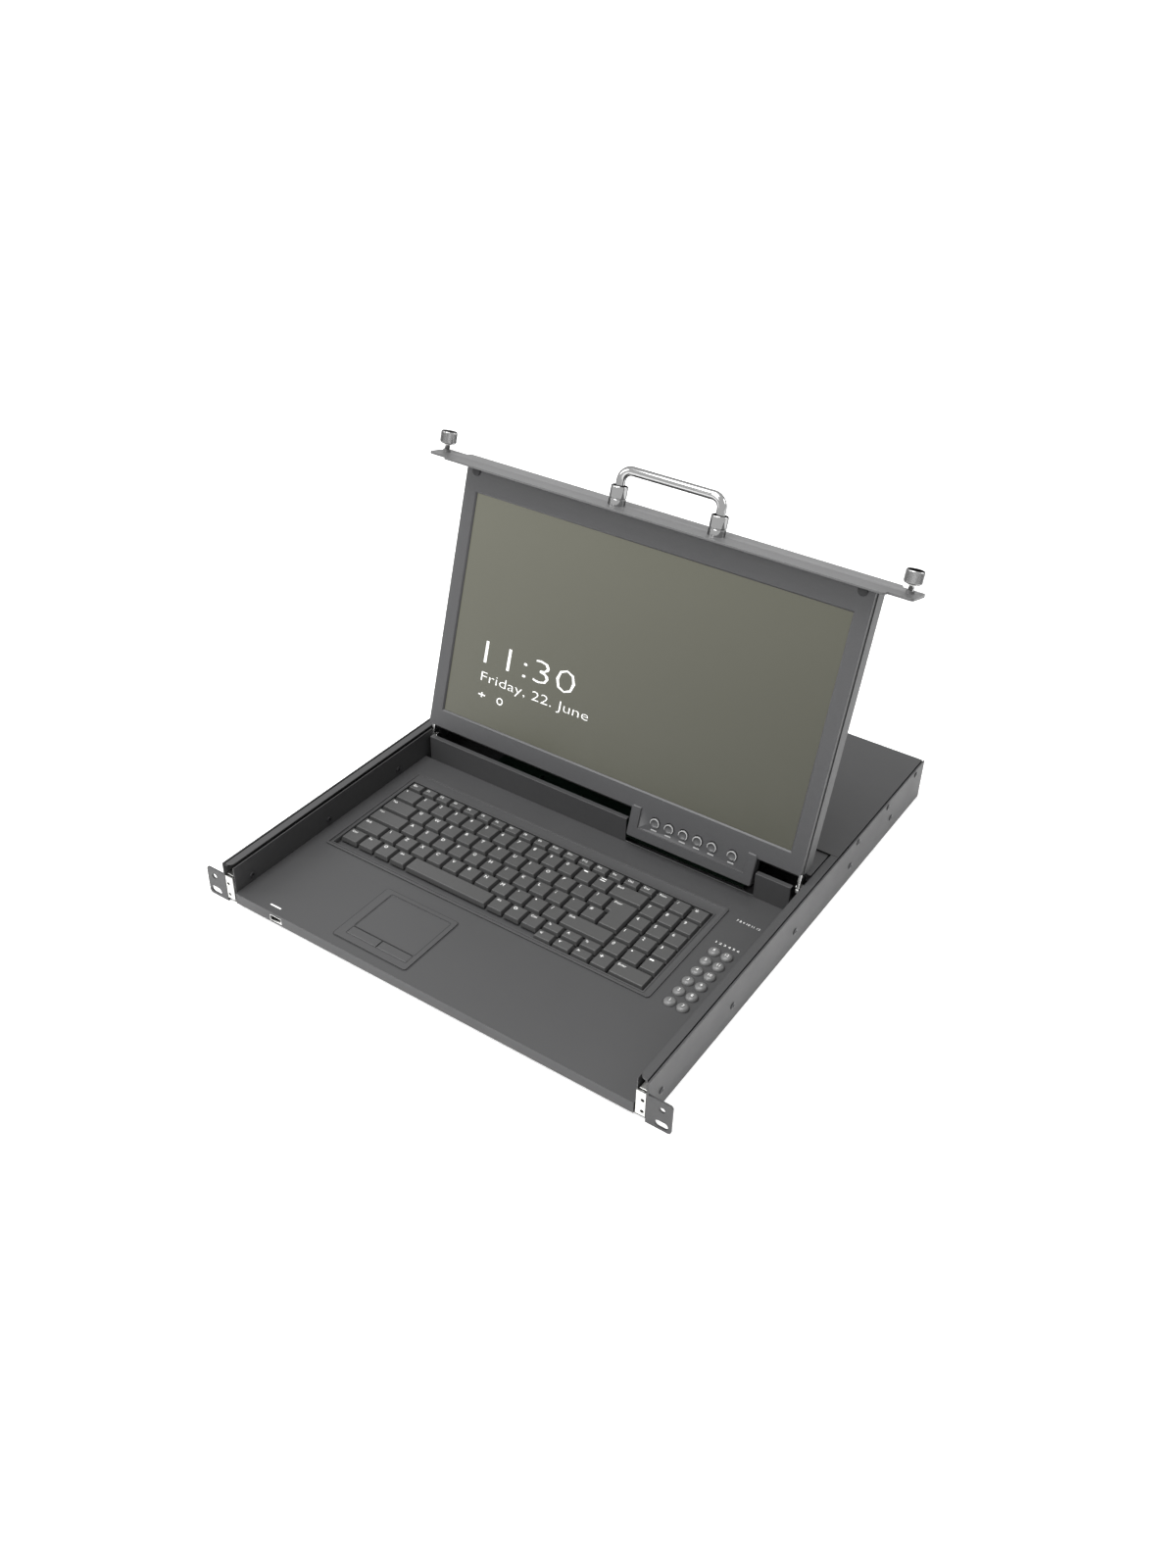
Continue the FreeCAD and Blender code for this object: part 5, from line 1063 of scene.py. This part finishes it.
def bent_rod():
    """The grip, which stands for the handle's solid."""
    low, high = lid_box("handle")
    rod = (high.z - low.z) / 2
    left = low.x + rod
    right = high.x - rod
    top = high.y - rod
    level = (low.z + high.z) / 2
    bend = HANDLE_BEND * MM
    points = [Vector((left, low.y, level))]
    for centre_x, start in ((left + bend, math.pi), (right - bend, math.pi / 2)):
        for i in range(BEND_STEPS + 1):
            angle = start - math.pi / 2 * i / BEND_STEPS
            points.append(Vector((centre_x + bend * math.cos(angle), top - bend + bend * math.sin(angle),
                                  level)))
    points.append(Vector((right, low.y, level)))
    curve = bpy.data.curves.new("grip", "CURVE")
    curve.dimensions = "3D"
    curve.bevel_depth = rod
    curve.bevel_resolution = SECTION_STEPS
    curve.use_fill_caps = True
    line = curve.splines.new("POLY")
    line.points.add(len(points) - 1)
    for target, point in zip(line.points, points):
        target.co = (*point, 1)
    mesh = plain_mesh(placed("grip", curve))
    mesh.transform(LID.to_4x4())
    mesh.shade_smooth()
    mesh.set_sharp_from_angle(angle=math.radians(ROD_SMOOTH_BELOW))
    stand_in("handle_grip", mesh, "handle")
    print(f"grip: {(right - left) / MM:.0f} mm between legs, rod {2 * rod / MM:.1f} mm")


bent_rod()

# %% [markdown]
# ## Screen contents and printed marks
# The screen shows a plain clock, a date and two small signs. They could be part of an image on the screen,
# but flat lettering just in front of the glass needs no file. Signs are made from two simple shapes, a
# ring or arc and a bar, and everything is placed from the middle of the panel.

# %% Rings and bars
RING_STEPS = 32
ARC_TIP = 0.35                     # share of the thickness left at the ends of an arc


def ring_sign(radius, thickness, start=0, sweep=360):
    """A flat ring or arc in millimetres and degrees, thinner towards the ends of an arc."""
    work = bmesh.new()
    rows = []
    for i in range(RING_STEPS + 1):
        angle = math.radians(start + sweep * i / RING_STEPS)
        swell = math.sin(math.pi * i / RING_STEPS)
        thin = 1.0 if sweep == 360 else ARC_TIP + (1 - ARC_TIP) * swell
        rows.append([work.verts.new((r * MM * math.cos(angle), r * MM * math.sin(angle), 0))
                     for r in (radius - thickness * thin, radius)])
    for near, far in zip(rows, rows[1:]):
        work.faces.new((near[0], near[1], far[1], far[0]))
    bmesh.ops.remove_doubles(work, verts=work.verts, dist=WELD)
    return finished_mesh(work, "ring_sign")


def bar_sign(width, height):
    """A flat bar, in millimetres, with its lower left corner at the origin."""
    work = bmesh.new()
    corners = [(0, 0, 0), (width * MM, 0, 0), (width * MM, height * MM, 0), (0, height * MM, 0)]
    work.faces.new([work.verts.new(c) for c in corners])
    return finished_mesh(work, "bar_sign")


def on_lid(x, up, out):
    """A placing matrix at a point given along the lid's axes, in metres."""
    return Matrix.Translation(LID @ Vector((x, up, out))) @ LID.to_4x4()


print("a ring has", len(ring_sign(1, 0.5).polygons), "faces")

# %% Lettering on the screen
panel = lid_box("lcd_panel")
SCREEN_FRONT = panel[1].z + LEGEND_LIFT * MM
LINES_LEFT = -155                        # left edge of every line
CLOCK_UP = -47
DATE_UP = -68
SIGNS_UP = -79
RING_FROM_LEFT = 25.5
PLUS_WIDE, PLUS_TALL, PLUS_THICK = 8, 5, 1.4


def screen_place(x, up):
    """A place on the screen in millimetres from the middle of the panel."""
    return on_lid(middle(panel).x + x * MM, middle(panel).y + up * MM, SCREEN_FRONT)


screen_items = [(letter_mesh("11:30", 22, 104, 0.02), screen_place(LINES_LEFT, CLOCK_UP)),
                (letter_mesh("Friday, 22. June", 12, 124, 0.014), screen_place(LINES_LEFT, DATE_UP)),
                (ring_sign(3.6, 1.1), screen_place(LINES_LEFT + RING_FROM_LEFT, SIGNS_UP)),
                (bar_sign(PLUS_WIDE, PLUS_THICK), screen_place(LINES_LEFT, SIGNS_UP - PLUS_THICK / 2)),
                (bar_sign(PLUS_THICK, PLUS_TALL),
                 screen_place(LINES_LEFT + (PLUS_WIDE - PLUS_THICK) / 2, SIGNS_UP - PLUS_TALL / 2))]
printed("screen_lettering", "lid", screen_items, GLOW)
print(len(screen_items), "pieces of lettering on the screen")

# %% [markdown]
# A grey arc runs round most of each button below the screen, with a short bar under it. The arc is a painted
# highlight: the light that the raised rim catches. Each arc could be text or a curve, but the ring function
# above already makes it. It rides on its button, and the bars ride on the lid.

# %% Painted highlights and bars by the buttons below the screen
# Each arc is a painted highlight on a cap's raised rim.
HIGHLIGHT_THICKNESS = 0.24               # share of the button's radius
HIGHLIGHT_START, HIGHLIGHT_SWEEP = -50, 250
BAR_BELOW = (6.2, 1.3)
BAR_DROP = 2.6
CAP_PROUD = 1.3
HIGHLIGHT_ARC = ring_sign(pod_radius, HIGHLIGHT_THICKNESS * pod_radius, HIGHLIGHT_START, HIGHLIGHT_SWEEP)
bars = []
for number, (low, high) in enumerate(pod_boxes, 1):
    seat = middle((low, high))
    printed(f"pod_arc_{number}", body_of(f"pod_button_{number}"),
            [(HIGHLIGHT_ARC, on_lid(seat.x, seat.y, high.z + LEGEND_LIFT * MM))], GREY_PRINT_AND_HIGHLIGHT)
    bars.append((bar_sign(*BAR_BELOW), on_lid(seat.x - BAR_BELOW[0] / 2 * MM, low.y - BAR_DROP * MM,
                                              high.z - (CAP_PROUD - LEGEND_LIFT) * MM)))
printed("pod_bars", "lid", bars, GREY_PRINT_AND_HIGHLIGHT)
print("arcs and bars for", len(pod_boxes), "caps")

# %% [markdown]
# The deck has two lines of numbers and a dot behind the port buttons, and a plain bar at its front left.
# They are printed, so they lie flat just above the paint: a layer any closer would flicker through it.

# %% Marks on the deck
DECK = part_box("deck_panel")[1].z
LINE_HEIGHT, LINE_WIDTH = 2.4, 23
port_back = max(b[1].y for b in inner_ports + outer_ports)
port_left = min(b[0].x for b in inner_ports)


def on_deck(x, y):
    """A placing matrix on the deck, for a point in metres."""
    return Matrix.Translation((x, y, DECK + LEGEND_LIFT * MM))


def behind_ports(right, back):
    """A place on the deck in millimetres from the left of the port buttons and from their back."""
    return on_deck(port_left + right * MM, port_back + back * MM)


printed("deck_marks", body_of("deck_panel"),
        [(letter_mesh("1 2 3 4 5 6", LINE_HEIGHT, LINE_WIDTH), behind_ports(0, 6)),
         (letter_mesh("7 8 9 10 11 12", LINE_HEIGHT, LINE_WIDTH), behind_ports(1, 41)),
         (ring_sign(0.9, 0.9), behind_ports(29, 7)),
         (bar_sign(12, 1.6), on_deck(-173 * MM, 5 * MM))])
print(f"marks on the deck at {DECK / MM:.1f} mm")

# %% [markdown]
# ## Painted shadow in the gaps round the touchpad
# A moulded frame that sits in a cut-out shows a dark gap all round, and so does the sunk touch surface: the
# shade that falls into the gaps. A real gap in the mesh would need new solids, and a dark line in a material
# would blur. A flat black band that follows a rounded rectangle paints that shadow instead: one function
# makes it from the rectangle, its corner and its width.

# %% Painted shadow in the gaps
FRAME_CORNER, FRAME_GAP = 2.5, 1.3
TOUCH_CORNER, TOUCH_GAP = 1.5, 0.8
BUTTON_CORNER, BUTTON_GAP = 0.5, 0.6
TOUCH_LOW = Vector((-94.5, 26.2, 0))
TOUCH_HIGH = Vector((-28.5, 76.0, 0))
CORNER_STEPS = 6


def seam(low, high, corner, width, level):
    """A flat band of painted shadow round a rounded rectangle, in millimetres, at a level in metres."""
    work = bmesh.new()
    centres = [(high[0] - corner, high[1] - corner, 0), (low[0] + corner, high[1] - corner, 90),
               (low[0] + corner, low[1] + corner, 180), (high[0] - corner, low[1] + corner, 270)]
    loops = []
    for radius in (corner, corner + width):
        loop = []
        for x, y, start in centres:
            for i in range(CORNER_STEPS + 1):
                angle = math.radians(start + 90 * i / CORNER_STEPS)
                loop.append(work.verts.new(((x + radius * math.cos(angle)) * MM,
                                            (y + radius * math.sin(angle)) * MM, level)))
        loops.append(loop)
    inside, outside = loops
    band(work, outside, inside)
    return finished_mesh(work, "seam")


pad_low, pad_high = (Vector(c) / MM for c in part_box("touchpad"))
on_frame = (pad_high.z + LEGEND_LIFT) * MM
gap_shadow_bands = [seam(pad_low, pad_high, FRAME_CORNER, FRAME_GAP, DECK + LEGEND_LIFT * MM),
         seam(TOUCH_LOW, TOUCH_HIGH, TOUCH_CORNER, TOUCH_GAP, on_frame)]
for node in ("touch_button_left", "touch_button_right"):
    low, high = (Vector(c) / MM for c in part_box(node))
    gap_shadow_bands.append(seam(low, high, BUTTON_CORNER, BUTTON_GAP, on_frame))
# The black rubber finish makes these bands painted shadow: the shade that falls into the gaps.
printed("touchpad_seams", body_of("touchpad"), [(mesh, Matrix.Identity(4)) for mesh in gap_shadow_bands],
        FINISH["rubber"])
print(f"seam round a frame of {pad_high.x - pad_low.x:.1f} by {pad_high.y - pad_low.y:.1f} mm")

# %% [markdown]
# ## Floor, light and camera
# The drawer stands on a pale floor in soft, even light from above. Stronger lamps would make the room
# white, but they would also turn black sheet grey. So floor and world look white only to the camera and in
# reflections, and stay dimmer as sources of light: a mask of the ray kinds decides.

# %% Rays that should see white
def seen_directly(tree):
    """One for camera, glossy and transmission rays, and zero for the rest."""
    rays = tree.nodes.new("ShaderNodeLightPath").outputs
    direct = arithmetic(tree, "MAXIMUM", rays["Is Camera Ray"], rays["Is Glossy Ray"])
    return arithmetic(tree, "MAXIMUM", direct, rays["Is Transmission Ray"])


print("camera, glossy and transmission rays see white")

# %% Floor
FLOOR_LIFT = 0.5
FLOOR_WHITE = (0.93, 0.93, 0.93, 1)
FLOOR_REACH = 12.0
FLOOR_GAP = 0.3


def pale_floor():
    """A wide flat floor just under the lowest solid."""
    low, high = -FLOOR_REACH, FLOOR_REACH
    level = solid_box[0][2] - FLOOR_GAP * MM
    work = bmesh.new()
    corners = [(low, low, level), (high, low, level), (high, high, level), (low, high, level)]
    work.faces.new([work.verts.new(c) for c in corners])
    floor = placed("floor", finished_mesh(work, "floor"))
    material = bpy.data.materials.new("floor")
    material.use_nodes = True
    tree = material.node_tree
    inputs = shader_of(material).inputs
    inputs["Base Color"].default_value = FLOOR_WHITE
    inputs["Roughness"].default_value = 0.6
    inputs["Emission Color"].default_value = (1, 1, 1, 1)
    glow = arithmetic(tree, "MULTIPLY", seen_directly(tree), FLOOR_LIFT)
    tree.links.new(glow, inputs["Emission Strength"])
    floor.data.materials.append(material)
    print(f"floor at {level / MM:.2f} mm")


pale_floor()

# %% World
WORLD_LIGHT = 0.55


def white_world():
    """A world that looks white and lights the object at a part of that strength."""
    world = bpy.data.worlds.new("studio")
    bpy.context.scene.world = world
    world.use_nodes = True
    tree = world.node_tree
    inputs = tree.nodes["Background"].inputs
    inputs["Color"].default_value = (1, 1, 1, 1)
    strength = arithmetic(tree, "MULTIPLY_ADD", seen_directly(tree), 1 - WORLD_LIGHT, WORLD_LIGHT)
    tree.links.new(strength, inputs["Strength"])


white_world()
print("the world lights at", WORLD_LIGHT, "of white")

# %% [markdown]
# Four large round lamps give soft shadows: small lamps would draw hard edges on a glossy bar. The one
# overhead does most, and the others lift the sides. The camera stands high at the front right and looks
# down across the deck.

# %% Lamps
LAMPS = {                          # place, target and width in metres, power in watts
    "overhead": ((-0.3, -0.2, 2.2), (0, 0.1, 0), 1.6, 52),
    "left_window": ((-1.8, -0.9, 1.3), (0, 0.1, 0.1), 1.2, 18),
    "behind_right": ((1.5, 1.6, 1.2), (0, 0.2, 0.1), 1.0, 12),
    "front_left": ((-0.4, -1.2, 1.25), (0.15, 0.4, 0.2), 0.6, 8)}
for name, (place, target, width, power) in LAMPS.items():
    lamp = bpy.data.lights.new(name, "AREA")
    lamp.shape = "DISK"
    lamp.size = width
    lamp.energy = power
    holder = placed(name, lamp)
    holder.location = place
    holder.rotation_euler = (Vector(target) - Vector(place)).to_track_quat("-Z", "Y").to_euler()
bpy.context.scene.view_settings.view_transform = "Standard"
print(len(LAMPS), "lamps,", sum(lamp[-1] for lamp in LAMPS.values()), "W")

# %% Camera
YAW, PITCH_DOWN, ROLL = (math.radians(angle) for angle in (32.877, -35.828, 1.809))
CAMERA_PLACE = Vector((561.35, -625.842, 819.003)) * MM
SENSOR_HEIGHT = 36
LENS_LENGTH = 32.2508025
NEAREST = 0.01


def place_camera():
    """A camera that stands at a point, turned left, tilted down and rolled."""
    forward = Vector((-math.sin(YAW) * math.cos(PITCH_DOWN), math.cos(YAW) * math.cos(PITCH_DOWN),
                      math.sin(PITCH_DOWN)))
    level_right = forward.cross(Z_AXIS).normalized()
    level_up = level_right.cross(forward)
    right = level_right * math.cos(ROLL) + level_up * math.sin(ROLL)
    up = level_up * math.cos(ROLL) - level_right * math.sin(ROLL)
    lens = bpy.data.cameras.new("front_right_view")
    lens.sensor_fit = "VERTICAL"
    lens.sensor_height = SENSOR_HEIGHT
    lens.lens = LENS_LENGTH
    lens.clip_start = NEAREST
    camera = placed("front_right_view", lens)
    turn = Matrix((right, up, -forward)).transposed().to_4x4()
    camera.matrix_world = Matrix.Translation(CAMERA_PLACE) @ turn
    bpy.context.scene.camera = camera


place_camera()
print(f"camera {CAMERA_PLACE.length:.2f} m from the origin, lens {LENS_LENGTH:.1f} mm")

# %% [markdown]
# ## Sizes
# Dressing never changes a dimension. The box of the solids is printed.

print("solids", [round(c / MM, 1) for c in (*solid_box[0], *solid_box[1])])
